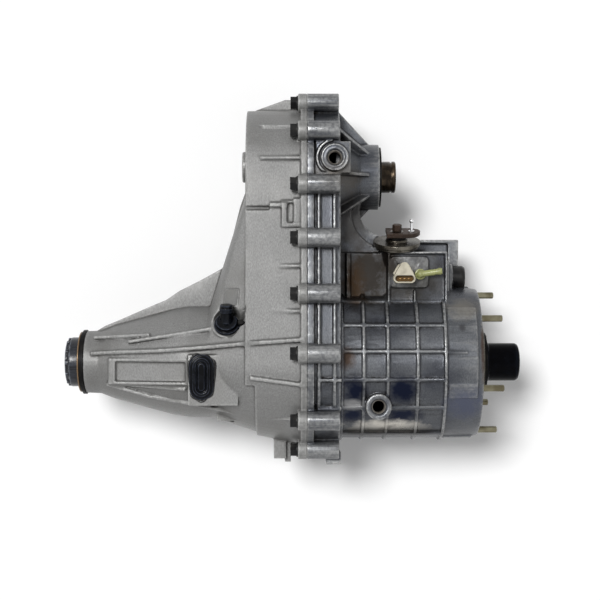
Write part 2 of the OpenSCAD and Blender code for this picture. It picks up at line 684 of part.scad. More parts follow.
module rear_case() {
    lobby_x = rear_x + 14;
    color(cast_rear) difference() {
        union() {
            difference() {
                rear_case_solid();
                xprism(lobby_x, split_x + cut) outline(cavity_main_r - 12, cavity_front_r - 1);
                intersection() {
                    xprism(rear_x + wall, split_x + cut)
                        outline(cavity_main_r - 14, cavity_front_r - 2);
                    block(rear_x, split_x, -15, 320, -120, 120);
                }
            }
            xc(front_rear_bearing_r + 5, rear_x + wall, rear_x + 20, shaft_spacing);
            xc(rail_r + 5, rear_x + wall, rail_rear_x + 18, rail_y);
        }
        xc(rear_bearing_r + seat_gap, rear_bearing_x - rear_bearing_w, lobby_x + cut);
        xc(tone_room_r, pump_x - pump_cover_t, rear_bearing_x - rear_bearing_w + cut);
        xc(pump_r + seat_gap, pump_x - pump_l, pump_x + cut);
        xcone(58, bushing_r + 2, pump_x - pump_l - 4, bushing_x + bushing_l - cut);
        xc(bushing_r + 2, pump_x - pump_l - 5, pump_x);
        xc(bushing_r + seat_gap, tail_x - cut, bushing_x + bushing_l + cut);
        xc(tail_seat_r + seat_gap, tail_x - cut, tail_x + 6);
        xc(front_rear_bearing_r + seat_gap, rear_x + 3, rear_x + 21, shaft_spacing);
        xc(rail_r + run_gap, rear_x + 4, rail_rear_x + 19, rail_y);
        for (p = bolt_spots) xc(bolt_r + 0.4, split_x - rear_boss_l - cut, split_x + cut,
            p[0], p[1]);
        // Flats for the bolt heads
        for (p = bolt_spots) xc(bolt_head_r + 1.3, split_x - rear_boss_l - bolt_head_h - 12,
            split_x - rear_boss_l, p[0], p[1]);
        for (p = dowel_spots) xc(dowel_r + seat_gap, split_x - 8, split_x + cut, p[0], p[1]);
        // Recessed panel on the extension
        translate([0, 2.5, 0]) rotate([90, 0, 0]) linear_extrude(24)
            polygon([[tail_x + 42, 45], [tail_x + 38, 52], [tail_x + 38, 90], [rear_x - 71, 90],
                [rear_x - 71, 63.5]]);
        // Pocket for the grommet
        translate([grommet_at[0], grommet_at[1], pad_top_z - 10]) slot2d(16, 40, 20);
        translate([grommet_at[0], grommet_at[1], pad_top_z]) slot2d(30, 55, 20);
        // Slot in the small boss and groove across the rear edge
        block(rear_x - 31, rear_x - 15, -72, -60, 20, 30);
        block(rear_x - cut, rear_x + 29, 182, 187, rear_rim(185) - 2.5, 130);
        translate([sensor_x, 0, 0]) rotate([sensor_angle, 0, 0])
            yc(8 + seat_gap, 30, sensor_seat + cut);
        translate([sensor_x + sensor_ear, 0, 0]) rotate([sensor_angle, 0, 0])
            yc(2.4 + seat_gap, sensor_seat - 12, sensor_seat + cut);
        // Seat of the sensor, cut into the flare
        translate([sensor_x, 0, 0]) rotate([sensor_angle, 0, 0]) {
            yc(18, sensor_seat, sensor_seat + 50);
            yc(6.8, sensor_seat, sensor_seat + 50, sensor_ear);
            block(0, sensor_ear, sensor_seat, sensor_seat + 50, -6.8, 6.8);
            translate([0, sensor_seat + 6, 0]) rotate([-38, 0, 0]) yc(10, 0, 28);
        }
        // Seat of the plate, cut into the flare
        plate_frame() block(-9.5, 9.5, -11.5, 11.5, plate_seat, plate_seat + 20);
        // Passage for the oil pickup
        xc(pickup_r + near_gap, pump_x - cut, lobby_x + cut, pickup_y, pickup_z);
    }
}
module slot2d(w, l, h) {
    linear_extrude(h) {
        square([w, l - w], center = true);
        for (s = [1, -1]) translate([0, s * (l - w) / 2]) circle(r = w / 2);
    }
}

// Fasteners
module case_bolts() {
    head_x = split_x - rear_boss_l;
    color(black) for (p = bolt_spots) {
        xc(bolt_r, head_x, split_x + 30, p[0], p[1]);
        translate([head_x - bolt_head_h, p[0], p[1]]) rotate([0, 90, 0])
            cylinder(r = bolt_head_r, h = bolt_head_h, $fn = 6);
        xc(bolt_head_r + 0.6, head_x - 1.8, head_x, p[0], p[1]);
    }
}
module case_dowels() {
    color(steel) for (p = dowel_spots)
        xc(dowel_r, split_x - 7.5, split_x + 11.5, p[0], p[1]);
}
module adapter_studs() {
    color([0.6, 0.58, 0.42]) for (p = stud_spots) {
        xc(stud_r + 1, -stud_seat + 0.5, 0, p[0], p[1]);
        xc(stud_r, -cut, stud_out - 1, p[0], p[1]);
        xcone(stud_r, stud_r - 1, stud_out - 1, stud_out, p[0], p[1]);
    }
}

// Input end
module input_retainer() {
    color([0.5, 0.45, 0.38]) difference() {
        union() {
            xc(retainer_r, -face_recess, retainer_t - 2);
            xc(retainer_r - 3, -face_recess, retainer_t);
        }
        xc(seal_bore_r, -face_recess - cut, retainer_t + cut);
    }
}
module input_seal() {
    color([0.35, 0.3, 0.25]) {
        xtube(seal_r, snout_r + run_gap, retainer_t, retainer_t + seal_t);
        xtube(seal_bore_r - seat_gap, snout_r + run_gap, -4, retainer_t);
    }
}
module input_bearing() {
    color(steel) raced_bearing(bearing_seat_r, journal_r + seat_gap, bearing_x, bearing_w);
}
module bearing_snap_ring() {
    color(steel) xtube(bearing_seat_r, bearing_seat_r - 4, bearing_x - bearing_w - 0.05,
        bearing_x - bearing_w - 2);
}
module socket_teeth(r, n) {
    polygon(cog(n, r, r + 1.3, 0.9, 0.7));
}
module input_shaft() {
    web_x = gear_front_x + carrier_gap - near_gap;
    color(steel) difference() {
        union() {
            xc(snout_r, bearing_x - cut, snout_x);
            xc(journal_r, bearing_x - bearing_w - 3, bearing_x);
            xc(30, gear_front_x, bearing_x - bearing_w - 2.3);
            xc(sun_pitch_r - 5, gear_front_x, web_x);
            xprism(gear_rear_x, gear_front_x) polygon(gear(sun_n, sun_pitch_r,
                sun_pitch_r - dedendum * gear_module, sun_pitch_r + addendum * gear_module,
                backlash));
        }
        xprism(-28, snout_x - 5) socket_teeth(input_socket_r - 0.1, 27);
        xc(input_socket_r, -29, snout_x);
        xc(socket_lead_r, snout_x - 10, snout_x + cut);
        xc(14, gear_rear_x - cut, gear_front_x + 2);
        xprism(gear_rear_x - cut, gear_rear_x + 18)
            polygon(cog(dog_n, dog_r - 1.7, dog_r + 0.3, 1.9, 1.5));
    }
}
module input_cap() {
    seat_x = retainer_t + seal_t + 0.3;
    color(black) {
        xtube(snout_r + 4.2, snout_r + 0.3, seat_x + 2, snout_x + 5);
        xc(snout_r + 4.2, snout_x + 1, snout_x + 5);
        xcone(snout_r + 4.2, snout_r + 2.4, snout_x + 5, snout_x + 8);
        xcone(snout_r + 2.4, snout_r - 1.5, snout_x + 8, snout_x + 9.5);
        xtube(snout_r + 7, snout_r + 0.3, seat_x, seat_x + 2.5);
    }
}

// Planetary set
module ring_gear() {
    color(steel) difference() {
        xc(drum_cavity_r - near_gap, gear_rear_x, gear_front_x);
        xprism(gear_rear_x - cut, gear_front_x + cut) polygon(gear(ring_n, ring_pitch_r,
            ring_pitch_r - addendum * gear_module, ring_pitch_r + dedendum * gear_module,
            -backlash, 180 / ring_n));
    }
}
function planet_spot(i) = turn(orbit_r, 360 * i / planets);
planet_phase = 180 / planet_n;
module planet_gear(i) {
    p = planet_spot(i);
    color([0.6, 0.6, 0.62]) difference() {
        xprism(gear_rear_x + 0.5, gear_front_x - 0.5, p[0], p[1])
            polygon(gear(planet_n, planet_pitch_r, planet_pitch_r - dedendum * gear_module,
                planet_pitch_r + addendum * gear_module, backlash, planet_phase));
        xc(pin_r + run_gap, gear_rear_x - cut, gear_front_x + cut, p[0], p[1]);
    }
}
module planet_gear_1() { planet_gear(0); }
module planet_gear_2() { planet_gear(1); }
module planet_gear_3() { planet_gear(2); }
module planet_gear_4() { planet_gear(3); }
module planet_carrier() {
    front = gear_front_x + carrier_gap;
    rear = gear_rear_x - carrier_gap;
    color([0.45, 0.45, 0.46]) difference() {
        union() {
            xtube(carrier_r, 33, front, front + carrier_t);
            xtube(carrier_r, 26, rear - carrier_t, rear);
            xtube(31, dog_r + near_gap, rear - 16, rear - carrier_t + cut);
            for (i = [0:planets - 1]) rotate([360 * (i + 0.5) / planets, 0, 0])
                intersection() {
                    xtube(carrier_r, 49, rear - cut, front + cut);
                    block(rear - cut, front + cut, 0, 90, -16, 16);
                }
        }
        for (i = [0:planets - 1]) xc(pin_r + seat_gap, rear - 9, front + 9,
            planet_spot(i)[0], planet_spot(i)[1]);
    }
}
module planet_pins() {
    color(steel) for (i = [0:planets - 1]) xc(pin_r, gear_rear_x - carrier_gap - carrier_t,
        gear_front_x + carrier_gap + carrier_t, planet_spot(i)[0], planet_spot(i)[1]);
}

// Main shaft and what turns with it
module shaft_spline(r, x0, x1) {
    xprism(x0, x1) polygon(cog(spline_n, r - 0.05, r + spline_h, 1.1, 0.9));
}
module main_shaft() {
    nose_x = gear_rear_x + 17;
    color([0.6, 0.59, 0.57]) difference() {
        union() {
            xc(11, nose_x - 1, gear_front_x + 0.5);
            xc(main_r, rear_bearing_x - rear_bearing_w - 0.1, nose_x);
            shaft_spline(main_r, -144, nose_x - 2);
            shaft_spline(main_r, mode_hub_x - mode_hub_l, mode_hub_x);
            xc(main_journal_r, sprocket_x - chain_w - 2, clutch_x + 1);
            xc(main_journal_r, rear_bearing_x - rear_bearing_w, rear_bearing_x + 2);
            xc(main_r, tail_x + 60, rear_bearing_x - rear_bearing_w);
            xc(pilot_r, tail_x + 2, tail_x + 2 + pilot_l + cut);
            xc(main_r - 1, tail_x + 2 + pilot_l, tail_x + 61);
            xprism(tail_x + 13, tail_x + 56) polygon(cog(32, main_r - 1.05, main_r + 0.4, 0.9,
                0.7));
        }
        xc(4, tail_x + 1, tail_x + 40);
    }
}
module pilot_rollers() {
    color(steel) rollers(16, 1.35, 12.5, gear_rear_x + 18.5, gear_front_x);
}
module mode_hub() {
    color(steel) difference() {
        xprism(mode_hub_x - mode_hub_l, mode_hub_x)
            polygon(cog(mode_n, mode_hub_r - 2, mode_hub_r, 1.5, 1.1));
        xprism(mode_hub_x - mode_hub_l - cut, mode_hub_x + cut)
            polygon(cog(spline_n, main_r + 0.08, main_r + spline_h + 0.15, 1.2, 1));
    }
}
module tone_wheel() {
    color(steel) difference() {
        xprism(tone_x - tone_w, tone_x) polygon(cog(tone_n, tone_r - 3, tone_r, 1.5, 1.2));
        xc(main_r + seat_gap, tone_x - tone_w - cut, tone_x + cut);
        for (i = [0:5]) xc(5, tone_x - tone_w - cut, tone_x + cut, 27 * cos(60 * i),
            27 * sin(60 * i));
    }
}
module main_snap_rings() {
    color(steel) {
        xtube(main_r + 3.5, main_r + seat_gap, mode_hub_x + 0.1, mode_hub_x + 1.9);
        xtube(main_r + 3.5, main_r + seat_gap, tone_x + 0.1, tone_x + 1.9);
        xtube(main_r + 3.5, main_r + seat_gap, tone_x - tone_w - 1.9, tone_x - tone_w - 0.1);
    }
}
module range_hub() {
    back = groove_front_x - groove_w - groove_rim_t;
    color([0.5, 0.5, 0.52]) difference() {
        union() {
            xprism(dog_x - dog_w, dog_x)
                polygon(cog(dog_n, dog_r - 2, dog_r, 1.65, 1.2));
            xc(hub_neck_r, back, dog_x - dog_w + 0.5);
            xc(groove_r, back, groove_front_x + groove_rim_t);
            xc(groove_rim_r, groove_front_x, groove_front_x + groove_rim_t);
            xc(groove_rim_r, back, groove_front_x - groove_w);
        }
        xprism(back - cut, dog_x + cut)
            polygon(cog(spline_n, main_r + 0.08, main_r + spline_h + 0.15, 1.2, 1));
    }
}
module mode_sleeve() {
    color([0.5, 0.5, 0.52]) difference() {
        xc(sleeve_r, sleeve_x - sleeve_l, sleeve_x);
        xtube(sleeve_r + cut, sleeve_groove_r, sleeve_x - 6 - sleeve_groove_l, sleeve_x - 6);
        xprism(sleeve_x - sleeve_l - cut, sleeve_x + cut)
            polygon(cog(mode_n, mode_hub_r - 1.7, mode_hub_r + 0.35, 1.8, 1.4));
    }
}
module sprocket_teeth_ring(phase) {
    polygon(cog(sprocket_teeth, sprocket_root_r, sprocket_tip_r, 1.9, 0.5, phase));
}
main_phase = 90 + 180 / sprocket_teeth;
front_phase = 270 + 180 / sprocket_teeth;
module drive_sprocket() {
    color(steel) difference() {
        union() {
            xprism(sprocket_x - chain_w, sprocket_x) sprocket_teeth_ring(main_phase);
            xc(29, sprocket_x - cut, clutch_x - clutch_l - 1);
            xc(29, sprocket_x - cut, clutch_x);
            xprism(clutch_x - clutch_l, clutch_x)
                polygon(cog(mode_n, mode_hub_r - 2, mode_hub_r, 1.5, 1.1));
        }
        xc(main_journal_r + 2 * needle_r + 0.2, sprocket_x - chain_w - cut, clutch_x + cut);
        xtube(48, 34, sprocket_x - 6, sprocket_x + cut);
        xtube(48, 34, sprocket_x - chain_w - cut, sprocket_x - chain_w + 6);
    }
}
module sprocket_needles() {
    color(steel) rollers(32, needle_r, main_journal_r + needle_r + 0.1,
        sprocket_x - chain_w + 1, clutch_x - 1);
}

// Front output
module front_output_shaft() {
    color([0.52, 0.44, 0.34]) {
        difference() {
            union() {
                xc(front_end_r, front_bearing_x + cut, front_end_x - 1.2, shaft_spacing);
                xcone(front_end_r, front_end_r - 1.2, front_end_x - 1.2, front_end_x,
                    shaft_spacing);
                xc(front_neck_r, front_bearing_x - front_bearing_w - cut, front_bearing_x + 1.5,
                    shaft_spacing);
                xc(24, sprocket_x + 6, front_bearing_x - front_bearing_w - 0.1, shaft_spacing);
                xc(32, sprocket_x + 0.1, sprocket_x + 8, shaft_spacing);
                xc(front_seat_r, sprocket_x - chain_w - 2, sprocket_x + cut, shaft_spacing);
                xc(front_rear_journal_r, rear_x + 4, sprocket_x - chain_w, shaft_spacing);
            }
            xtube(front_end_r + cut, front_end_r - 1.2, -105.2, -102.6, shaft_spacing);
            xc(front_socket_r, -160, front_end_x + cut, shaft_spacing);
            xprism(-150, front_end_x - 5, shaft_spacing)
                socket_teeth(front_socket_r - 0.1, 24);
            xc(front_lead_r, front_end_x - 10, front_end_x + cut, shaft_spacing);
        }
        xtube(front_seat_r + 3.5, front_seat_r + seat_gap, sprocket_x - chain_w - 1.9,
            sprocket_x - chain_w - 0.1, shaft_spacing);
    }
}
module driven_sprocket() {
    color(steel) difference() {
        xprism(sprocket_x - chain_w, sprocket_x, shaft_spacing)
            sprocket_teeth_ring(front_phase);
        xc(front_seat_r + seat_gap, sprocket_x - chain_w - cut, sprocket_x + cut,
            shaft_spacing);
        xtube(48, 35, sprocket_x - 6, sprocket_x + cut, shaft_spacing);
        xtube(48, 35, sprocket_x - chain_w - cut, sprocket_x - chain_w + 6, shaft_spacing);
    }
}
module front_output_bearing() {
    color(steel) raced_bearing(front_bearing_r, front_neck_r + seat_gap, front_bearing_x,
        front_bearing_w, shaft_spacing);
}
module front_output_rear_bearing() {
    color(steel) {
        xtube(front_rear_bearing_r, front_rear_bearing_r - 3.5, rear_x + 5, rear_x + 19,
            shaft_spacing);
        rollers(14, 3.4, 18.7, rear_x + 6, rear_x + 18, shaft_spacing);
    }
}
module front_output_seal() {
    color(black) {
        xtube(front_seal_r, front_end_r + run_gap, front_face_x, front_face_x + front_seal_t,
            shaft_spacing);
        xtube(front_bearing_r - 0.5, front_end_r + run_gap + 0.8, front_bearing_x + 0.1,
            front_face_x, shaft_spacing);
    }
}

// The drive chain: pins, and plates laced from side to side
function chain_pin(i) = let(k = i % chain_links, step = 360 / sprocket_teeth,
    half = sprocket_teeth / 2, run = (chain_links - sprocket_teeth) / 2)
    k < half ? turn(sprocket_pitch_r, 90 + k * step) :
    k < half + run ? [(k - half) * chain_pitch, -sprocket_pitch_r] :
    k < 2 * half + run ? turn(sprocket_pitch_r, 270 + (k - half - run) * step)
        + [shaft_spacing, 0] :
    [shaft_spacing - (k - 2 * half - run) * chain_pitch, sprocket_pitch_r];
link_half = chain_pitch / 2;
link_outline = [[-1.4, 1.9], [-3, 7.9], [-6.4, 7.9], [-8.7, 3], [-9.2, -1.5], [-7.4, -4.6],
    [7.4, -4.6], [9.2, -1.5], [8.7, 3], [6.4, 7.9], [3, 7.9], [1.4, 1.9]];
module link_plate() {
    difference() {
        polygon(link_outline);
        for (s = [1, -1]) translate([s * link_half, 0]) circle(r = chain_pin_r + run_gap);
    }
}
module drive_chain() {
    slot_w = chain_w / link_slots;
    color([0.4, 0.4, 0.42]) for (i = [0:chain_links - 1]) {
        a = chain_pin(i);
        b = chain_pin(i + 1);
        d = b - a;
        xc(chain_pin_r, sprocket_x - chain_w - 0.8, sprocket_x + 0.8, a[0], a[1]);
        for (k = [i % 2:2:link_slots - 1])
            translate([sprocket_x - (k + 1) * slot_w + 0.15, (a[0] + b[0]) / 2,
                (a[1] + b[1]) / 2]) rotate([atan2(d[1], d[0]), 0, 0])
                rotate([90, 0, 90]) linear_extrude(slot_w - 0.3) link_plate();
    }
}

// Oil pump
module rear_bearing() {
    color(steel) raced_bearing(rear_bearing_r, main_journal_r + seat_gap, rear_bearing_x,
        rear_bearing_w);
}
module pump_housing() {
    color(cast_rear) difference() {
        xc(pump_r, pump_x - pump_l, pump_x - pump_cover_t);
        xc(pump_rotor_r + run_gap, pump_x - pump_l + 4, pump_x - pump_cover_t + cut,
            pump_offset);
        xc(main_r + 1, pump_x - pump_l - cut, pump_x);
    }
}
module pump_cover() {
    color([0.6, 0.6, 0.6]) difference() {
        xc(pump_r, pump_x - pump_cover_t + 0.05, pump_x);
        xc(main_r + 1, pump_x - pump_cover_t - cut, pump_x + cut);
    }
}
module pump_outer_rotor() {
    back = pump_x - pump_l + 4.1;
    front = pump_x - pump_cover_t - 0.1;
    color(steel) {
        xtube(pump_rotor_r, pump_ring_r, back, front, pump_offset);
        for (i = [0:pump_lobes - 1]) intersection() {
            xc(pump_pin_r, back, front,
                pump_offset + pump_pin_circle_r * cos(360 * i / pump_lobes),
                pump_pin_circle_r * sin(360 * i / pump_lobes));
            xc(pump_ring_r + 1, back - cut, front + cut, pump_offset);
        }
    }
}
lobe_steps = 90;
lobe_pin_r = pump_pin_r + 0.15;
lobe_circle_r = pump_pin_circle_r;
function lobe_point(t) = let(n = pump_lobes, m = n - 1, e = pump_offset, r = lobe_circle_r,
    psi = atan2(sin(-m * t), r / (e * n) - cos(-m * t)))
    [r * cos(t) - lobe_pin_r * cos(t + psi) - e * cos(n * t),
        -r * sin(t) + lobe_pin_r * sin(t + psi) + e * sin(n * t)];
module pump_inner_rotor() {
    color([0.5, 0.5, 0.5]) difference() {
        xprism(pump_x - pump_l + 4.2, pump_x - pump_cover_t - 0.2)
            rotate(180 / (pump_lobes - 1))
                polygon([for (i = [0:lobe_steps - 1]) lobe_point(360 * i / lobe_steps)]);
        xc(main_r + seat_gap, pump_x - pump_l, pump_x);
    }
}
module pickup_tube() {
    color([0.62, 0.6, 0.5]) {
        xc(pickup_r, pump_x + 0.2, rear_x + 16, pickup_y, pickup_z);
    }
}
module pickup_screen() {
    color([0.25, 0.25, 0.26]) difference() {
        block(rear_x + 9, rear_x + 21, pickup_y - 14, pickup_y + 34, pickup_z - 16, pickup_z + 9);
        xc(pickup_r + seat_gap, rear_x + 8, rear_x + 16.5, pickup_y, pickup_z);
    }
}
module oil_magnet() {
    color([0.3, 0.3, 0.32]) block(rear_x + wall, rear_x + wall + 7, 66, 88, -60, -48);
}

// Rear output end
module tail_bushing() {
    color([0.7, 0.6, 0.35]) xtube(bushing_r, bushing_bore_r, bushing_x, bushing_x + bushing_l);
}
module tail_seal() {
    color(black) {
        xtube(tail_seal_r, tail_seal_bore_r, tail_x - 3.5, tail_x - 0.02);
        xtube(tail_seal_r - 3, tail_seal_bore_r, tail_x - 6.5, tail_x - 3.5);
        xtube(tail_seat_r, bushing_bore_r + 1.5, tail_x, tail_x + 6);
    }
}
module tail_plug() {
    color(black) {
        difference() {
            union() {
                xc(tail_seal_bore_r - 0.8, tail_x - 7, tail_x - 4);
                xc(30.3, tail_x - 18, tail_x - 6.8);
                xcone(30.3, 27.5, tail_x - 18, tail_x - 20);
                xc(26, tail_x - 24, tail_x - 18);
                xc(bushing_bore_r - 0.4, tail_x + 8, tail_x - 7);
                for (i = [0:11]) rotate([30 * i, 0, 0])
                    block(tail_x - 23, tail_x - 17, 25, 29.5, -2, 2);
            }
            xc(21.5, tail_x - 20, tail_x + 9);
        }
    }
}

// Near side fixtures
module speed_sensor() {
    t = sensor_seat + seat_gap / 2;
    color(black) translate([sensor_x, 0, 0]) rotate([sensor_angle, 0, 0]) {
        yc(8, tone_r + 1.2, t);
        yc(15, t, t + 4);
        yc(12.5, t + 4, t + 9);
        translate([0, t + 6, 0]) rotate([-38, 0, 0]) {
            yc(7.4, 0, 22);
            yc(8.2, 13, 18);
        }
        difference() {
            union() {
                block(4, sensor_ear, t, t + 4, -5.5, 5.5);
                yc(5.5, t, t + 4, sensor_ear);
            }
            yc(2.4 + run_gap, t - cut, t + 5, sensor_ear);
        }
    }
}
module sensor_screw() {
    t = sensor_seat + seat_gap / 2;
    color(steel) translate([sensor_x + sensor_ear, 0, 0]) rotate([sensor_angle, 0, 0]) {
        yc(2.4, t - 11, t + 4.05);
        translate([0, t + 4.05, 0]) rotate([-90, 0, 0]) cylinder(r = 4, h = 4, $fn = 6);
    }
}
module window_grommet() {
    color(black) translate([grommet_at[0], grommet_at[1], 0]) {
        translate([0, 0, pad_top_z - 9.9]) slot2d(15.9, 39.9, 10);
        translate([0, 0, pad_top_z]) slot2d(28.6, 53.4, 3);
        translate([0, 0, pad_top_z + 3]) difference() {
            slot2d(21, 46, 2.5);
            translate([0, 0, -1]) slot2d(13, 38, 5);
        }
        translate([0, 0, pad_top_z + 3]) slot2d(8, 33, 2);
    }
}
module selector_retainer() {
    color([0.6, 0.59, 0.57]) select_frame() difference() {
        union() {
            yc(28.5, 41, 46);
            yc(26.5, 38, 41);
            yc(13, 46, 49);
        }
        yc(select_r + run_gap, 37, 50);
    }
}
module selector_o_ring() {
    color(black) select_frame() difference() {
        yc(11.5, 49.05, lever_local_y - 0.2);
        yc(select_r + run_gap, 48, lever_local_y + cut);
    }
}
face_z = box_near_z + 2.5;
module switch_shell(r) {
    hull() {
        for (s = [1, -1]) translate([s * 7.6, -6.5]) circle(r = r, $fn = 32);
        translate([0, 7.5]) circle(r = r, $fn = 32);
    }
}
module indicator_switch() {
    color([0.86, 0.84, 0.78]) translate([switch_at[0], switch_at[1], 0]) {
        translate([0, 0, face_z - 14]) cylinder(r = 9, h = 14);
        translate([0, 0, face_z]) cylinder(r = 12.4, h = 7, $fn = 6);
        difference() {
            translate([0, 0, face_z + 7]) linear_extrude(17) switch_shell(5.4);
            translate([0, -6.5, face_z + 16]) linear_extrude(9) hull()
                for (s = [1, -1]) translate([s * 7.4, 0]) circle(r = 3.6, $fn = 32);
        }
    }
}
module switch_terminals() {
    color([0.62, 0.45, 0.15]) for (i = [-1:1])
        translate([switch_at[0] + 5 * i - 0.8, switch_at[1] - 6.9, face_z + 16])
            cube([1.6, 0.8, 5]);
}
module vent_tube() {
    color([0.66, 0.7, 0.38]) translate([vent_at[0], vent_at[1], face_z]) {
        translate([0, 0, -10]) cylinder(r = 4, h = 10);
        cylinder(r = 6.4, h = 7);
        translate([0, 0, 8]) sphere(r = 4.6);
        translate([0, 0, 8]) rotate([0, 84, 8]) difference() {
            union() {
                cylinder(r = 3.6, h = 26);
                translate([0, 0, 20]) cylinder(r1 = 3.6, r2 = 4.3, h = 4);
            }
            translate([0, 0, 8]) cylinder(r = 2.1, h = 20);
        }
    }
}
module rail_plug() {
    color(black) {
        xc(rail_plug_r, rail_plug_x - 2.9, box_front_x + 12, rail_y);
        xc(14.5, box_front_x + 12, box_front_x + 24, rail_y);
        xcone(14.5, 12.5, box_front_x + 24, box_front_x + 27, rail_y);
    }
}
module plate_frame() {
    r = main_housing_r - 2.4;
    angle = sensor_angle - 26.83 / r * 180 / PI;
    translate([rear_x - 17, r * cos(angle), r * sin(angle)]) rotate([-15.4, -20, 0]) children();
}
plate_seat = 0.6;
module id_plate() {
    color([0.42, 0.42, 0.42]) plate_frame()
        block(-7.5, 7.5, -9.5, 9.5, plate_seat, plate_seat + 1);
}

// Shift mechanism
module shift_rail() {
    color(steel) xc(rail_r, rail_rear_x, rail_front_x, rail_y);
}
module fork_arms(x0, x1, inner, outer) {
    difference() {
        union() {
            xc(outer, x0, x1);
            block(x0, x1, 0, rail_y - rail_r - 4, -15, 15);
        }
        xc(inner, x0 - cut, x1 + cut);
        block(x0 - cut, x1 + cut, -outer - cut, -8, -outer - cut, outer + cut);
    }
}
module range_fork() {
    x1 = groove_front_x - near_gap;
    x0 = groove_front_x - groove_w + near_gap;
    slot_x = select_arm * sin(pin_rest_turn);
    slot_w = pin_half_w + 0.4;
    color([0.55, 0.53, 0.48]) difference() {
        union() {
            fork_arms(x0, x1, groove_r + near_gap, 42);
            xc(rail_r + 5, x0 - 3, select_x + slot_x + 11, rail_y);
            block(x0, x1, rail_y - 30, rail_y, -13, 13);
            select_frame() block(slot_x - 11, slot_x + 11, -16, 5.6, -37, -17);
        }
        xc(rail_r + seat_gap, x0 - 4, select_x + slot_x + 12, rail_y);
        select_frame() block(slot_x - slot_w, slot_x + slot_w, 1.5, 8, -40, -12);
    }
}
module mode_fork() {
    x1 = sleeve_x - 6 - near_gap;
    x0 = sleeve_x - 6 - sleeve_groove_l + near_gap;
    color([0.55, 0.53, 0.48]) difference() {
        union() {
            fork_arms(x0, x1, sleeve_groove_r + near_gap, 50);
            xc(rail_r + 5, x0 - 10, x1 + 4, rail_y);
            block(x0, x1, rail_y - 30, rail_y, -13, 13);
        }
        xc(rail_r + seat_gap, x0 - 11, x1 + 5, rail_y);
    }
}
module selector_shaft() {
    color(steel) select_frame() {
        yc(select_r, 5.9, lever_local_y + 5);
        yc(4, lever_local_y + 5, lever_local_y + 8);
        // Sector plate and its drive pin
        rotate([0, -pin_rest_turn, 0]) {
            yc(15, 6, 11);
            block(-8, 8, 6, 11, -select_arm, 0);
            yc(8, 6, 11, 0, -select_arm);
            yc(pin_half_w, 2, 6.1, 0, -select_arm);
        }
    }
}
module shift_lever() {
    color([0.16, 0.13, 0.12]) select_frame() {
        difference() {
            union() {
                block(-13, 8, lever_local_y + 0.1, lever_local_y + 5.1, -15, 15);
                yc(15, lever_local_y + 0.1, lever_local_y + 5.1, 12, 0);
                yc(11, lever_local_y + 0.1, lever_local_y + 5.1, 17, -2);
            }
            yc(select_r + seat_gap, lever_local_y - cut, lever_local_y + 7);
            yc(2 + seat_gap, lever_local_y - cut, lever_local_y + 7, 17, 4);
        }
        difference() {
            translate([0, lever_local_y + 5.15, 0]) rotate([-90, 0, 0])
                cylinder(r = 5.8, h = 8, $fn = 6);
            yc(4 + seat_gap, lever_local_y, lever_local_y + 9.1);
        }
    }
}
module ball_stud() {
    color([0.7, 0.69, 0.66]) select_frame() {
        yc(2, lever_local_y + 0.3, lever_local_y + 5.2, 17, 4);
        yc(3.6, lever_local_y + 5.15, lever_local_y + 6.6, 17, 4);
        yc(1.5, lever_local_y + 6.5, lever_local_y + 17, 17, 4);
        translate([17, lever_local_y + 18.5, 4]) sphere(r = 2.6);
    }
}

front_case();
rear_case();
case_bolts();
case_dowels();
adapter_studs();
input_retainer();
input_seal();
input_bearing();
bearing_snap_ring();
ring_gear();
front_output_bearing();
front_output_rear_bearing();
front_output_seal();
rear_bearing();
pump_housing();
pump_cover();
pump_outer_rotor();
pump_inner_rotor();
pickup_tube();
pickup_screen();
oil_magnet();
tail_bushing();
tail_seal();
speed_sensor();
sensor_screw();
window_grommet();
selector_retainer();
selector_o_ring();
indicator_switch();
switch_terminals();
vent_tube();
rail_plug();
id_plate();
drive_chain();
input_shaft();
input_cap();
planet_carrier();
planet_pins();
planet_gear_1();
planet_gear_2();
planet_gear_3();
planet_gear_4();
main_shaft();
pilot_rollers();
mode_hub();
tone_wheel();
main_snap_rings();
range_hub();
mode_sleeve();
drive_sprocket();
sprocket_needles();
front_output_shaft();
driven_sprocket();
shift_rail();
range_fork();
mode_fork();
selector_shaft();
shift_lever();
ball_stud();
tail_plug();
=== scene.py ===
# %% [markdown]
# # A transfer case, dressed for its portrait
#
# The part lies on a pale floor and the camera looks straight down on it. Its pieces already have their real
# size and place in the imported model, so this script gives them what a solid model lacks: the soft corners
# of a casting, the grain of blasted aluminium, oil, rust, rubbed edges and light, with painted highlights on
# edges and painted shade in corners and hollows.

import math

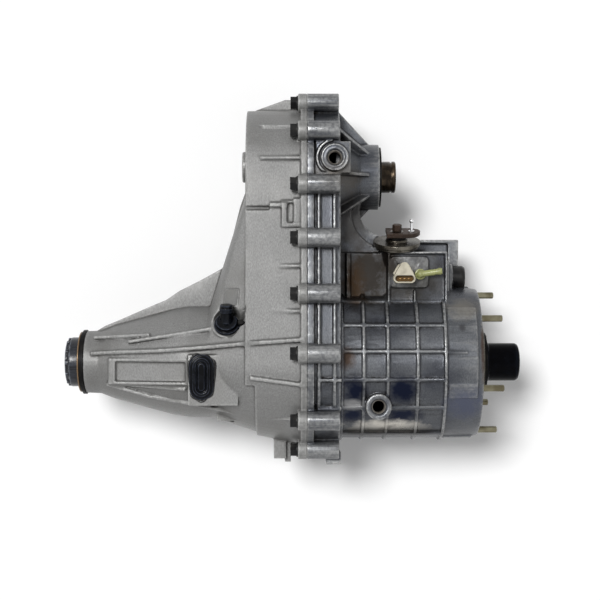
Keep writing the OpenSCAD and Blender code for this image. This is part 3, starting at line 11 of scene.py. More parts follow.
import bmesh
import bpy
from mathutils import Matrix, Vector


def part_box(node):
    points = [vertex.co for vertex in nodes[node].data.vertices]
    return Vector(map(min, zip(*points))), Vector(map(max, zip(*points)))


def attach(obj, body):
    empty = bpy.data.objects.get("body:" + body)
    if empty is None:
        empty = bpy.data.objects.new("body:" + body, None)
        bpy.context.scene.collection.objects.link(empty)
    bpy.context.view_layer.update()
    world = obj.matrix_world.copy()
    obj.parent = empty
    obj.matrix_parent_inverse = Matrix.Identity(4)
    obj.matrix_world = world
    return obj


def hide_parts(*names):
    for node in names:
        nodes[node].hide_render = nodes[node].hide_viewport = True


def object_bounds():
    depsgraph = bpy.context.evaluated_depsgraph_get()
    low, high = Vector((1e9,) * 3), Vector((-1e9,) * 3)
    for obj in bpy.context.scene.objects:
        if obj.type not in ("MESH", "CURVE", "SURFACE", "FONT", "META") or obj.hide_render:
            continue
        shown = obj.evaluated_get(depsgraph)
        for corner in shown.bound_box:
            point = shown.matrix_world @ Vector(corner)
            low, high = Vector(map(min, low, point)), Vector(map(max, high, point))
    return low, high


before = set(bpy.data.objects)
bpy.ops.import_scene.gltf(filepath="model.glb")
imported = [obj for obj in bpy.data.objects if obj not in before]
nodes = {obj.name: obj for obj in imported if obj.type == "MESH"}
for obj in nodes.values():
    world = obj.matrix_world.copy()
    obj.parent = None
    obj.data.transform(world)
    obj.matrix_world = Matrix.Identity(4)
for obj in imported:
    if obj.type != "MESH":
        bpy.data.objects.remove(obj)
cad_low, cad_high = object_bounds()
print("nodes:", len(nodes), "box:", [round(v, 4) for v in (*cad_low, *cad_high)])

# %% [markdown]
# Colours are easiest to judge as they look on a screen, from 0 to 255. A shader
# wants them linear, so one small helper converts them, and every finish below
# is written with screen colours.

# %% Screen colour to shader colour
def screen(red, green, blue):
    """A screen colour, 0 to 255 per channel, as a shader's linear colour."""
    linear = []
    for value in (red, green, blue):
        share = value / 255
        linear.append(share / 12.92 if share <= 0.04045 else ((share + 0.055) / 1.055) ** 2.4)
    return (*linear, 1.0)


print("middle grey:", [round(v, 3) for v in screen(128, 128, 128)])

# %% [markdown]
# The same effects return on many pieces: grain, wear on edges, dirt in corners,
# lathe marks. Each is a node group, built once, with named sockets. These two
# helpers make a group and join its nodes, so that the groups read as a recipe.

# %% Helpers that build a node group
def start_group(name, inputs, outputs):
    """An empty shader group with its sockets, its input node and its output node."""
    group = bpy.data.node_groups.new(name, "ShaderNodeTree")
    for label, kind, value in inputs:
        socket = group.interface.new_socket(label, in_out="INPUT", socket_type=kind)
        socket.default_value = value
    for label, kind in outputs:
        group.interface.new_socket(label, in_out="OUTPUT", socket_type=kind)
    return group, group.nodes.new("NodeGroupInput"), group.nodes.new("NodeGroupOutput")


def put(tree, kind, values=None, links=None, **settings):
    """A node with its settings, the values of its sockets, and what feeds them."""
    node = tree.nodes.new(kind)
    for setting, value in settings.items():
        setattr(node, setting, value)
    for socket, value in (values or {}).items():
        node.inputs[socket].default_value = value
    for socket, source in (links or {}).items():
        tree.links.new(source, node.inputs[socket])
    return node


FLOAT, COLOUR, VECTOR = "NodeSocketFloat", "NodeSocketColor", "NodeSocketVector"
print("kinds of socket:", FLOAT, COLOUR, VECTOR)

# %% [markdown]
# Noise is the start of nearly every finish. It reads Object coordinates, in
# metres, so a scale of 1000 gives grains of about a millimetre, and the pattern
# stays put when a piece moves. Two more helpers multiply masks and mix colours.

# %% Masks and mixes
def noise_mask(tree, scale, low, high, detail=3.0, stretch=(1.0, 1.0, 1.0)):
    """A 0 to 1 mask from noise: 0 below low, 1 above high."""
    place = put(tree, "ShaderNodeTexCoord")
    mapping = put(tree, "ShaderNodeMapping", {"Scale": stretch}, {"Vector": place.outputs["Object"]})
    noise = put(tree, "ShaderNodeTexNoise", {"Scale": scale, "Detail": detail},
                {"Vector": mapping.outputs["Vector"]})
    ramp = put(tree, "ShaderNodeMapRange", {"From Min": low, "From Max": high},
               {"Value": noise.outputs["Fac"]})
    return ramp.outputs["Result"]


def multiply(tree, a, b):
    """The product of two masks, or of a mask and a number."""
    node = put(tree, "ShaderNodeMath", operation="MULTIPLY")
    for index, value in enumerate((a, b)):
        if isinstance(value, (int, float)):
            node.inputs[index].default_value = value
        else:
            tree.links.new(value, node.inputs[index])
    return node.outputs[0]


def mix_colour(tree, mask, below, above, blend="MIX"):
    """below where the mask is 0, above where it is 1."""
    node = put(tree, "ShaderNodeMix", data_type="RGBA", blend_type=blend)
    for label, value in (("Factor", mask), ("A", below), ("B", above)):
        if isinstance(value, (int, float, tuple)):
            node.inputs[label].default_value = value
        else:
            tree.links.new(value, node.inputs[label])
    return node.outputs["Result"]


# %% [markdown]
# Wear on edges is the detail that tells an eye how big a thing is. Cycles gives each vertex its Pointiness:
# half on a flat face, more on an outer edge, less in a corner. Spread out and broken up with noise, the high
# side becomes bare, rubbed metal with a painted highlight, and the low side the dirt and dust that a rag
# doesn't reach, together with painted shade. Ambient Occlusion finds the wider hollows, which get painted
# shade.

# %% Group: rubbed edges, dirt in corners, and painted highlight and shade
FLAT_FACE = 0.5
DEAD_BAND = 0.004
HOLLOW_REACH = 0.014


def wear_and_painted_light_group():
    """Masks of outer edges, of narrow corners and of wider hollows, for wear, dirt and painted light."""
    group, given, result = start_group(
        "wear_and_painted_light",
        [("Reach", FLOAT, 0.06), ("Break-up Scale", FLOAT, 260.0)],
        [("Edge", FLOAT), ("Corner", FLOAT), ("Deep", FLOAT)])
    shape = put(group, "ShaderNodeNewGeometry")
    place = put(group, "ShaderNodeTexCoord")
    # Painted shade: Ambient Occlusion marks the wider hollows, and the casting's effect darkens them where
    # shade falls.
    hollow = put(group, "ShaderNodeAmbientOcclusion", {"Distance": HOLLOW_REACH}, samples=8, only_local=True)
    deep = put(group, "ShaderNodeMapRange", {"From Min": 0.72, "From Max": 0.2},
               {"Value": hollow.outputs["AO"]})
    patchy = put(group, "ShaderNodeTexNoise", {"Detail": 4.0},
                 {"Vector": place.outputs["Object"], "Scale": given.outputs["Break-up Scale"]})
    break_up = put(group, "ShaderNodeMapRange", {"From Min": 0.35, "From Max": 0.6, "To Min": 0.35},
               {"Value": patchy.outputs["Fac"]})
    high = put(group, "ShaderNodeMath", {1: FLAT_FACE}, {0: given.outputs["Reach"]}, operation="ADD")
    low = put(group, "ShaderNodeMath", {0: FLAT_FACE}, {1: given.outputs["Reach"]}, operation="SUBTRACT")
    edge = put(group, "ShaderNodeMapRange", {"From Min": FLAT_FACE + DEAD_BAND},
               {"Value": shape.outputs["Pointiness"], "From Max": high.outputs[0]})
    corner = put(group, "ShaderNodeMapRange", {"From Min": FLAT_FACE - DEAD_BAND},
                 {"Value": shape.outputs["Pointiness"], "From Max": low.outputs[0]})
    for label, mask in (("Edge", edge), ("Corner", corner), ("Deep", deep)):
        broken = multiply(group, mask.outputs["Result"], break_up.outputs["Result"])
        group.links.new(broken, result.inputs[label])
    return group


wear_and_painted_light = wear_and_painted_light_group()
print("nodes in the wear:", len(wear_and_painted_light.nodes))

# %% [markdown]
# Blasted or die-cast aluminium is never one grey. Fine grains of about a
# millimetre catch the light one by one, and wide, soft patches show where the
# metal froze at another speed or where oil has wept. Noise at three sizes gives
# the colour, the roughness and a height for the Bump node.

# %% Group: the skin of a casting
def cast_skin_group():
    """Colour, roughness and height of blasted or die-cast aluminium, with painted shade in its corners and
    hollows and a painted highlight on its edges.
    """
    group, given, result = start_group(
        "cast_skin",
        # The bright edge colour is rubbed metal with a painted highlight; the dark colour is dirt with
        # painted shade.
        [("Metal", COLOUR, screen(150, 150, 148)), ("Dark Grain", COLOUR, screen(110, 110, 108)),
         ("Patch", COLOUR, screen(130, 128, 120)), ("Patch Amount", FLOAT, 0.5),
         ("Bright Edge", COLOUR, screen(215, 215, 212)), ("Edge Amount", FLOAT, 0.6),
         ("Dirt", COLOUR, screen(60, 54, 46)), ("Dirt Amount", FLOAT, 0.5),
         ("Deep Amount", FLOAT, 0.5), ("Reach", FLOAT, 0.06), ("Roughness", FLOAT, 0.5)],
        [("Color", COLOUR), ("Roughness", FLOAT), ("Height", FLOAT)])
    grain = noise_mask(group, 1100.0, 0.34, 0.68, 4.0, (1.0, 0.35, 1.0))
    speck = noise_mask(group, 2400.0, 0.4, 0.65, 2.0)
    patch = noise_mask(group, 16.0, 0.42, 0.68, 5.0)
    wear = put(group, "ShaderNodeGroup", None, {"Reach": given.outputs["Reach"]}, node_tree=wear_and_painted_light)
    colour = mix_colour(group, grain, given.outputs["Dark Grain"], given.outputs["Metal"])
    patched = mix_colour(group, multiply(group, patch, given.outputs["Patch Amount"]), colour,
                         given.outputs["Patch"])
    # Painted shade: the wider hollows take the dark colour, and so do the narrow corners, where it is real
    # dirt as well.
    hollow_shade = mix_colour(group, multiply(group, wear.outputs["Deep"], given.outputs["Deep Amount"]),
                       patched, given.outputs["Dirt"])
    corner_grime_and_shade = mix_colour(group, multiply(group, wear.outputs["Corner"], given.outputs["Dirt Amount"]),
                       hollow_shade, given.outputs["Dirt"])
    # Painted highlight: the outer edges take the bright colour, rubbed metal lit as if a lamp caught it.
    rubbed = mix_colour(group, multiply(group, wear.outputs["Edge"], given.outputs["Edge Amount"]),
                        corner_grime_and_shade, given.outputs["Bright Edge"])
    group.links.new(rubbed, result.inputs["Color"])
    spread = put(group, "ShaderNodeMapRange", {"To Min": 0.12, "To Max": -0.08}, {"Value": patch})
    rough = put(group, "ShaderNodeMath", None,
                {0: given.outputs["Roughness"], 1: spread.outputs["Result"]}, operation="ADD")
    group.links.new(rough.outputs[0], result.inputs["Roughness"])
    both = put(group, "ShaderNodeMath", {1: 0.4}, {0: speck, 2: grain}, operation="MULTIPLY_ADD")
    group.links.new(both.outputs[0], result.inputs["Height"])
    return group


cast_skin = cast_skin_group()
print("nodes in the casting's skin:", len(cast_skin.nodes))

# %% [markdown]
# A lathe leaves rings round a shaft. The shafts of the driveline all turn about
# the X axis, so noise that changes fast along X and hardly at all across it gives
# rings on every one of them. Oil darkens the metal in runs and blots.

# %% Group: turned steel with a film of oil
RINGS_PER_METRE = (2600.0, 25.0, 25.0)


def turned_group():
    """Colour, roughness and height of steel from a lathe."""
    group, given, result = start_group(
        "turned_steel",
        [("Metal", COLOUR, screen(165, 165, 165)), ("Film", COLOUR, screen(90, 70, 45)),
         ("Film Amount", FLOAT, 0.5), ("Roughness", FLOAT, 0.3)],
        [("Color", COLOUR), ("Roughness", FLOAT), ("Height", FLOAT)])
    rings = noise_mask(group, 1.0, 0.3, 0.7, 2.0, RINGS_PER_METRE)
    film = noise_mask(group, 60.0, 0.4, 0.62, 5.0)
    shade = put(group, "ShaderNodeMapRange", {"To Min": 0.82, "To Max": 1.0}, {"Value": rings})
    grey = mix_colour(group, 1.0, given.outputs["Metal"], shade.outputs["Result"], "MULTIPLY")
    oily = mix_colour(group, multiply(group, film, given.outputs["Film Amount"]), grey, given.outputs["Film"])
    group.links.new(oily, result.inputs["Color"])
    rough = put(group, "ShaderNodeMath", {1: 0.12}, {0: rings, 2: given.outputs["Roughness"]},
                operation="MULTIPLY_ADD")
    group.links.new(rough.outputs[0], result.inputs["Roughness"])
    group.links.new(rings, result.inputs["Height"])
    return group


turned_steel = turned_group()
print("nodes in turned steel:", len(turned_steel.nodes))

# %% [markdown]
# Moulded rubber and plastic are smoother than a casting but not clean: a fine texture from the mould, and
# dust that settles in the corners. Some get a painted highlight along their edges.

# %% Group: moulded rubber or plastic
def moulded_group():
    """Colour, roughness and height of rubber and plastic from a mould, with a painted highlight on the edges.
    """
    group, given, result = start_group(
        "moulded",
        [("Body", COLOUR, screen(24, 24, 25)), ("Dust", COLOUR, screen(110, 104, 94)),
         ("Dust Amount", FLOAT, 0.3), ("Handled", COLOUR, screen(60, 62, 68)), ("Handled Amount", FLOAT, 0.0),
         ("Roughness", FLOAT, 0.45)],
        [("Color", COLOUR), ("Roughness", FLOAT), ("Height", FLOAT)])
    fine = noise_mask(group, 1800.0, 0.35, 0.7, 3.0)
    cloud = noise_mask(group, 90.0, 0.45, 0.75, 4.0)
    wear = put(group, "ShaderNodeGroup", node_tree=wear_and_painted_light)
    settle = put(group, "ShaderNodeMath", None, {0: wear.outputs["Corner"], 1: cloud}, operation="MAXIMUM")
    dusty = mix_colour(group, multiply(group, settle.outputs[0], given.outputs["Dust Amount"]),
                       given.outputs["Body"], given.outputs["Dust"])
    # Painted highlight: the outer edges take a lighter colour, as if they caught a lamp.
    sheened = mix_colour(group, multiply(group, wear.outputs["Edge"], given.outputs["Handled Amount"]),
                         dusty, given.outputs["Handled"])
    group.links.new(sheened, result.inputs["Color"])
    rough = put(group, "ShaderNodeMath", {1: 0.15}, {0: cloud, 2: given.outputs["Roughness"]},
                operation="MULTIPLY_ADD")
    group.links.new(rough.outputs[0], result.inputs["Roughness"])
    group.links.new(fine, result.inputs["Height"])
    return group


moulded = moulded_group()
print("effects:", [g.name for g in bpy.data.node_groups])


# %% [markdown]
# A finish is one material: a Principled BSDF, one effect group and a Bump node.
# What is the same all over goes straight on the shader's own sockets.

# %% A finish from an effect
def finish(name, effect, bump, shader, **inputs):
    """A material whose colour, roughness and bump come from an effect group."""
    material = bpy.data.materials.new(name)
    material.use_nodes = True
    tree = material.node_tree
    principled = tree.nodes["Principled BSDF"]
    for socket, value in shader.items():
        principled.inputs[socket].default_value = value
    layer = put(tree, "ShaderNodeGroup", node_tree=effect)
    for label, value in inputs.items():
        layer.inputs[label.replace("_", " ")].default_value = value
    relief = put(tree, "ShaderNodeBump", {"Strength": bump[0], "Distance": bump[1]},
                 {"Height": layer.outputs["Height"]})
    tree.links.new(layer.outputs["Color"], principled.inputs["Base Color"])
    tree.links.new(layer.outputs["Roughness"], principled.inputs["Roughness"])
    tree.links.new(relief.outputs["Normal"], principled.inputs["Normal"])
    material.diffuse_color = layer.inputs[0].default_value
    return material


# %% [markdown]
# Oil leaves stains in one place only, and some painted reflections and painted shade lie in one place too.
# Each is a soft ball in Object coordinates, torn at its rim by noise, laid over the colour of a finish.

# %% Group: a stain, a painted reflection or painted shade in one place
def colour_spot_group():
    """A mask round one place, with its rim torn by noise."""
    group, given, result = start_group(
        "colour_spot",
        [("Place", VECTOR, (0.0, 0.0, 0.0)), ("Per Size", VECTOR, (50.0, 50.0, 50.0)),
         ("Amount", FLOAT, 0.8)],
        [("Mask", FLOAT)])
    place = put(group, "ShaderNodeTexCoord")
    offset = put(group, "ShaderNodeVectorMath", None,
                 {0: place.outputs["Object"], 1: given.outputs["Place"]}, operation="SUBTRACT")
    scaled = put(group, "ShaderNodeVectorMath", None,
                 {0: offset.outputs["Vector"], 1: given.outputs["Per Size"]}, operation="MULTIPLY")
    away = put(group, "ShaderNodeVectorMath", None, {0: scaled.outputs["Vector"]}, operation="LENGTH")
    torn = put(group, "ShaderNodeTexNoise", {"Scale": 75.0, "Detail": 6.0, "Roughness": 0.65},
               {"Vector": place.outputs["Object"]})
    reach = put(group, "ShaderNodeMath", {1: 1.3}, {0: torn.outputs["Fac"], 2: away.outputs["Value"]},
                operation="MULTIPLY_ADD")
    soft = put(group, "ShaderNodeMapRange", {"From Min": 1.65, "From Max": 1.0}, {"Value": reach.outputs[0]})
    group.links.new(multiply(group, soft.outputs["Result"], given.outputs["Amount"]), result.inputs["Mask"])
    return group


colour_spot = colour_spot_group()
print("nodes in a stain:", len(colour_spot.nodes))


def add_colour_spot(material, place, size, colour, amount):
    """Lay one colour over a finish round a place in metres, for stains, painted reflections and painted shade
    alike.
    """
    tree = material.node_tree
    socket = tree.nodes["Principled BSDF"].inputs["Base Color"]
    blot = put(tree, "ShaderNodeGroup", {"Place": place, "Per Size": [1 / v for v in size], "Amount": amount},
               node_tree=colour_spot)
    below = socket.links[0].from_socket
    tree.links.new(mix_colour(tree, blot.outputs["Mask"], below, colour), socket)


# %% [markdown]
# The two cases are cast in different ways and it shows. The rear case is blasted: pale, warm and matt. The
# front case comes smooth from a steel die, so it is darker, bluer and shinier; the bright lines along its
# ribs are a painted highlight and its navy patches a painted reflection. Its stains and painted marks are a
# table: a label, the place and the reach along X, Y and Z in metres, the colour on a screen, and how much of
# it covers.

# %% Finishes of the castings
# Rear case: its dark colour is dirt with painted shade in corners and hollows, and its bright edge colour is
# rubbed metal with a painted highlight.
rear_casting = finish(
    "rear_casting", cast_skin, (0.2, 0.0005), {"Metallic": 0.25, "IOR": 1.5},
    Metal=screen(130, 130, 129), Dark_Grain=screen(104, 104, 103), Patch=screen(92, 91, 88),
    Patch_Amount=0.6, Bright_Edge=screen(182, 182, 180), Edge_Amount=0.65, Reach=0.05,
    Dirt=screen(40, 37, 34), Dirt_Amount=0.8, Roughness=0.4)
# Front case: the navy patch colour is a painted reflection in random patches, the bright edges a painted
# highlight over rubbed metal, and the dark colour dirt with painted shade in corners and hollows.
front_casting = finish(
    "front_casting", cast_skin, (0.16, 0.0004), {"Metallic": 0.65, "Specular IOR Level": 0.2},
    Metal=screen(94, 96, 99), Dark_Grain=screen(73, 75, 79), Patch=screen(44, 47, 56),
    Patch_Amount=0.75, Deep_Amount=0.8, Bright_Edge=screen(184, 184, 182), Edge_Amount=0.75, Reach=0.055,
    Dirt=screen(24, 21, 18), Dirt_Amount=1.0, Roughness=0.3)
COLOUR_SPOTS = (
    ("dark skin of the shift box", (-0.136, 0.108, 0.052), (0.052, 0.06, 0.05), (36, 33, 30), 1.0),
    ("brown oil on the shift box", (-0.149, 0.099, 0.056), (0.016, 0.036, 0.05), (38, 26, 13), 1.0),
    # Painted shade: the web between the ribs is darkened where shade falls.
    ("painted shade on the web", (-0.153, 0.176, 0.03), (0.032, 0.05, 0.08), (48, 46, 44), 0.8),
    ("brown film at the upper port", (-0.168, 0.222, 0.07), (0.04, 0.026, 0.06), (84, 78, 70), 0.55),
    ("oil in the notch", (-0.108, 0.124, 0.05), (0.02, 0.026, 0.05), (30, 26, 22), 0.9),
    ("oil round the connector", (-0.075, 0.1, 0.05), (0.045, 0.034, 0.05), (44, 41, 36), 0.75),
    # Painted reflection: navy patches on the drum.
    ("painted blue reflection, rear", (-0.152, -0.031, 0.09), (0.018, 0.022, 0.05), (8, 15, 34), 1.0),
    ("painted blue reflection, front", (-0.095, -0.030, 0.09), (0.025, 0.022, 0.05), (8, 15, 34), 1.0),
    ("painted blue reflection, low rear", (-0.153, -0.061, 0.075), (0.018, 0.012, 0.05), (10, 18, 38), 1.0),
    ("painted blue reflection, low front", (-0.095, -0.061, 0.075), (0.028, 0.012, 0.05), (10, 18, 38), 1.0),
    # Painted reflection: a pale band along the drum.
    ("painted bright reflection band", (-0.112, -0.0745, 0.065), (0.055, 0.011, 0.05), (186, 182, 174), 1.0),
    ("rubbed corner", (-0.153, -0.0465, 0.085), (0.018, 0.008, 0.05), (138, 138, 138), 0.7),
    # Painted reflection: a dark line along the lower edge of the drum.
    ("painted dark reflection under the drum", (-0.11, -0.083, 0.05), (0.09, 0.012, 0.06), (20, 18, 16), 0.85),
    ("brown drop", (-0.160, 0.008, 0.09), (0.011, 0.016, 0.04), (52, 38, 27), 0.9),
    ("brown line on the face", (-0.001, 0.018, 0.088), (0.0035, 0.048, 0.03), (58, 40, 26), 0.8),
    ("mark on the collar", (-0.0245, 0.044, 0.082), (0.005, 0.0055, 0.03), (58, 58, 60), 0.8),
    ("pale film on the collar", (-0.022, 0.066, 0.07), (0.026, 0.016, 0.05), (112, 108, 100), 0.6),
    ("violet tint on the collar", (-0.020, -0.048, 0.09), (0.034, 0.026, 0.05), (72, 77, 96), 0.7),
)
for label, place, size, colour, amount in COLOUR_SPOTS:
    add_colour_spot(front_casting, place, size, screen(*colour), amount)
print("stains:", [row[0] for row in COLOUR_SPOTS])

# %% [markdown]
# Steel comes in many states: black oxide on the bolts, yellow zinc on the studs, polished bearing steel,
# oil-brown shafts, rust on the lever. Most are the turned steel with another metal, film and roughness. Black
# oxide is as smooth as a moulding, and rust, the magnet and the tag are grainy like a casting, so these take
# the other two effects. With the casting's effect come its painted shade in corners and hollows and, on the
# rust and the magnet, its painted highlight on edges.

# %% Finishes of the steel pieces
bare_steel = finish("bare_steel", turned_steel, (0.08, 0.0002), {"Metallic": 1.0},
                    Metal=screen(176, 177, 178), Film=screen(120, 112, 98), Film_Amount=0.35, Roughness=0.26)
gear_steel = finish("gear_steel", turned_steel, (0.05, 0.0002), {"Metallic": 1.0, "Coat Weight": 0.2},
                    Metal=screen(136, 135, 132), Film=screen(78, 68, 52), Film_Amount=0.5, Roughness=0.3)
bearing_steel = finish("bearing_steel", turned_steel, (0.03, 0.0001), {"Metallic": 1.0},
                       Metal=screen(196, 197, 200), Film=screen(150, 146, 138), Film_Amount=0.25,
                       Roughness=0.16)
oiled_shaft = finish("oiled_shaft", turned_steel, (0.12, 0.0003), {"Metallic": 0.9},
                     Metal=screen(74, 63, 50), Film=screen(20, 15, 11), Film_Amount=0.9, Roughness=0.22)
yellow_zinc = finish("yellow_zinc", turned_steel, (0.1, 0.0003), {"Metallic": 0.9},
                     Metal=screen(128, 124, 104), Film=screen(70, 62, 44), Film_Amount=0.7, Roughness=0.28)
pale_zinc = finish("pale_zinc", turned_steel, (0.1, 0.0003), {"Metallic": 0.9},
                   Metal=screen(182, 182, 176), Film=screen(120, 114, 100), Film_Amount=0.4, Roughness=0.34)
black_oxide = finish("black_oxide", moulded, (0.2, 0.0002), {"Metallic": 0.0, "Specular IOR Level": 0.2},
                     Body=screen(14, 14, 15), Dust=screen(60, 58, 54), Dust_Amount=0.35, Roughness=0.3)
# Rust takes the casting's painted shade in corners and hollows and a faint painted highlight on its edges.
rusty_steel = finish("rusty_steel", cast_skin, (0.6, 0.0005), {"Metallic": 0.3, "Specular IOR Level": 0.3},
                     Metal=screen(42, 35, 30), Dark_Grain=screen(20, 17, 15), Patch=screen(76, 52, 36),
                     Patch_Amount=0.45, Bright_Edge=screen(110, 98, 88), Edge_Amount=0.12,
                     Dirt=screen(16, 13, 11), Dirt_Amount=0.6, Roughness=0.5)
tired_steel = finish("tired_steel", turned_steel, (0.1, 0.0003), {"Metallic": 0.9},
                     Metal=screen(104, 100, 92), Film=screen(44, 38, 31), Film_Amount=0.8, Roughness=0.24)
chrome = finish("chrome", turned_steel, (0.02, 0.0001), {"Metallic": 1.0},
                Metal=screen(225, 226, 228), Film=screen(170, 168, 160), Film_Amount=0.2, Roughness=0.1)
bronze = finish("bronze", turned_steel, (0.08, 0.0002), {"Metallic": 1.0},
                Metal=screen(190, 150, 96), Film=screen(110, 84, 50), Film_Amount=0.4, Roughness=0.3)
# The magnet and the tag take the casting's painted shade in corners and hollows, and the magnet its painted
# highlight on edges too.
magnet_grey = finish("magnet_grey", cast_skin, (0.2, 0.0003), {"Metallic": 0.4},
                     Metal=screen(70, 70, 72), Dark_Grain=screen(44, 44, 46), Roughness=0.5)
cut_metal = finish("cut_metal", turned_steel, (0.05, 0.0002), {"Metallic": 0.8},
                   Metal=screen(132, 128, 122), Film=screen(66, 56, 44), Film_Amount=0.6, Roughness=0.28)
grey_tag = finish("grey_tag", cast_skin, (0.1, 0.0002), {"Metallic": 0.3},
                  Metal=screen(108, 108, 108), Dark_Grain=screen(96, 97, 98), Edge_Amount=0.0, Roughness=0.6)
print("materials so far:", len(bpy.data.materials))

# %% [markdown]
# There are five blacks here: dull rubber, the shinier grommet and sensor, a shipping cap of the deepest
# black, a plug with a painted blue-grey highlight along its teeth, and wet sealant. The cream, amber and tan
# of the connector and of the seal's rim are the same effect in other colours.

# %% Finishes of the moulded pieces
black_rubber = finish("black_rubber", moulded, (0.15, 0.0002), {"Metallic": 0.0, "Specular IOR Level": 0.08},
                      Body=screen(9, 9, 10), Dust=screen(64, 61, 56), Dust_Amount=0.3, Roughness=0.4)
# The grommet, the sensor, the cap and the plug get a painted highlight along their edges.
gloss_black = finish("gloss_black", moulded, (0.05, 0.0002), {"Metallic": 0.0, "Specular IOR Level": 0.1},
                     Body=screen(4, 5, 8), Dust=screen(30, 34, 44), Dust_Amount=0.2,
                     Handled=screen(74, 80, 94), Handled_Amount=0.8, Roughness=0.12)
cap_black = finish("cap_black", moulded, (0.05, 0.0002), {"Metallic": 0.0, "Specular IOR Level": 0.03},
                   Body=screen(2, 2, 4), Dust=screen(20, 24, 34), Dust_Amount=0.2,
                   Handled=screen(40, 46, 60), Handled_Amount=0.5, Roughness=0.1)
plug_black = finish("plug_black", moulded, (0.05, 0.0002), {"Metallic": 0.0, "Specular IOR Level": 0.3},
                    Body=screen(14, 16, 22), Dust=screen(44, 48, 58), Dust_Amount=0.3,
                    Handled=screen(128, 134, 146), Handled_Amount=1.0, Roughness=0.2)
cream_plastic = finish("cream_plastic", moulded, (0.08, 0.0002), {"Metallic": 0.0, "Specular IOR Level": 0.3},
                       Body=screen(190, 184, 166), Dust=screen(98, 88, 66), Dust_Amount=0.6, Roughness=0.4)
amber_seal = finish("amber_seal", moulded, (0.05, 0.0002), {"Metallic": 0.0, "Specular IOR Level": 0.2},
                    Body=screen(84, 60, 20), Dust=screen(34, 24, 10), Dust_Amount=0.5, Roughness=0.3)
tan_rim = finish("tan_rim", moulded, (0.05, 0.0002), {"Metallic": 0.4, "Specular IOR Level": 0.3},
                 Body=screen(128, 104, 76), Dust=screen(70, 54, 38), Dust_Amount=0.5, Roughness=0.35)
sealant = finish("sealant", moulded, (0.2, 0.0003), {"Metallic": 0.0, "Specular IOR Level": 0.4},
                 Body=screen(8, 8, 9), Dust=screen(60, 58, 54), Dust_Amount=0.2, Roughness=0.22)
print("materials with the moulded ones:", len(bpy.data.materials))

# %% [markdown]
# The vent is a short tube of clear, yellow-green plastic. Light passes through
# it, so it uses the shader's own Transmission with a plain tint.

# %% Clear tube of the vent
vent_plastic = finish("vent_plastic", moulded, (0.05, 0.0002),
                      {"Metallic": 0.0, "Transmission Weight": 0.35, "IOR": 1.46},
                      Body=screen(174, 178, 118), Dust=screen(104, 100, 60), Dust_Amount=0.6, Roughness=0.25)
print("the last finish:", vent_plastic.name)

# %% [markdown]
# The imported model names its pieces, so dressing it is a matter of a table: a
# finish, and the pieces that have it. A piece that the table forgets would stay
# plain grey, so the last line prints any such name.

# %% Which finish each piece has
FINISH_OF = {
    rear_casting: "rear_case",
    front_casting: "front_case",
    black_oxide: "case_bolts sensor_screw rail_plug",
    yellow_zinc: "adapter_studs",
    pale_zinc: "case_dowels",
    tired_steel: "selector_retainer input_retainer",
    bare_steel: "bearing_snap_ring main_snap_rings pump_cover shift_rail",
    bearing_steel: "input_bearing front_output_bearing front_output_rear_bearing rear_bearing "
                   "pilot_rollers sprocket_needles",
    gear_steel: "ring_gear planet_gear_1 planet_gear_2 planet_gear_3 planet_gear_4 planet_pins "
                "planet_carrier input_shaft main_shaft mode_hub range_hub mode_sleeve drive_sprocket "
                "driven_sprocket drive_chain tone_wheel pump_outer_rotor pump_inner_rotor pickup_tube",
    oiled_shaft: "front_output_shaft range_fork mode_fork selector_shaft",
    black_rubber: "input_seal front_output_seal tail_seal selector_o_ring pickup_screen",
    gloss_black: "speed_sensor window_grommet",
    cap_black: "input_cap",
    plug_black: "tail_plug",
    cream_plastic: "indicator_switch",
    chrome: "ball_stud",
    bronze: "tail_bushing switch_terminals",
    magnet_grey: "oil_magnet pump_housing",
    rusty_steel: "shift_lever",
    grey_tag: "id_plate",
    vent_plastic: "vent_tube",
}
dressed = set()
for material, names in FINISH_OF.items():
    for name in names.split():
        nodes[name].data.materials.clear()
        nodes[name].data.materials.append(material)
        dressed.add(name)
print("dressed:", len(dressed), "left plain:", sorted(set(nodes) - dressed))


# %% [markdown]
# A casting has no sharp corner: the metal wouldn't fill it. Rather than round
# hundreds of edges by hand, a copy of the case is turned into small voxels and
# smoothed, which rounds outer edges and fills inner corners as a foundry does.
# Decimate then takes out the faces that flat walls don't need.

# %% Round a piece like a casting
WELD_REACH = 0.000001


def cast_copy(node, name, voxel, smoothing, share, added=None):
    """A copy of a CAD piece, and of what is added to it, with cast corners."""
    shape = bmesh.new()
    shape.from_mesh(nodes[node].data)
    bmesh.ops.remove_doubles(shape, verts=shape.verts, dist=WELD_REACH)
    if added:
        shape.from_mesh(added)
    mesh = bpy.data.meshes.new(name)
    shape.to_mesh(mesh)
    shape.free()
    piece = bpy.data.objects.new(name, mesh)
    bpy.context.scene.collection.objects.link(piece)
    remesh = piece.modifiers.new("voxels", "REMESH")
    remesh.mode = "VOXEL"
    remesh.voxel_size = voxel
    soften = piece.modifiers.new("soften", "SMOOTH")
    soften.factor = 0.5
    soften.iterations = smoothing
    thin = piece.modifiers.new("thin", "DECIMATE")
    thin.ratio = share
    seen = piece.evaluated_get(bpy.context.evaluated_depsgraph_get())
    finished = bpy.data.meshes.new_from_object(seen)
    piece.modifiers.clear()
    piece.data = finished
    finished.name = name
    finished.materials.clear()
    finished.materials.append(nodes[node].data.materials[0])
    finished.polygons.foreach_set("use_smooth", [True] * len(finished.polygons))
    print(name, "faces:", len(finished.polygons))
    return piece


# %% [markdown]
# The collar behind the studs isn't quite round: a low boss stands over each stud,
# a wide pad faces the camera and another the floor, and one thin rib runs on from
# the drum. These steps are only a millimetre or two high. Each is an outline spun
# through a few degrees round the main axis, added before the voxels, so that it
# grows out of the casting.

# %% Low steps on the collar
COLLAR_ROOT = 0.0895
FIRST_STUD = 49.3
NEAR_PAD = 79.3
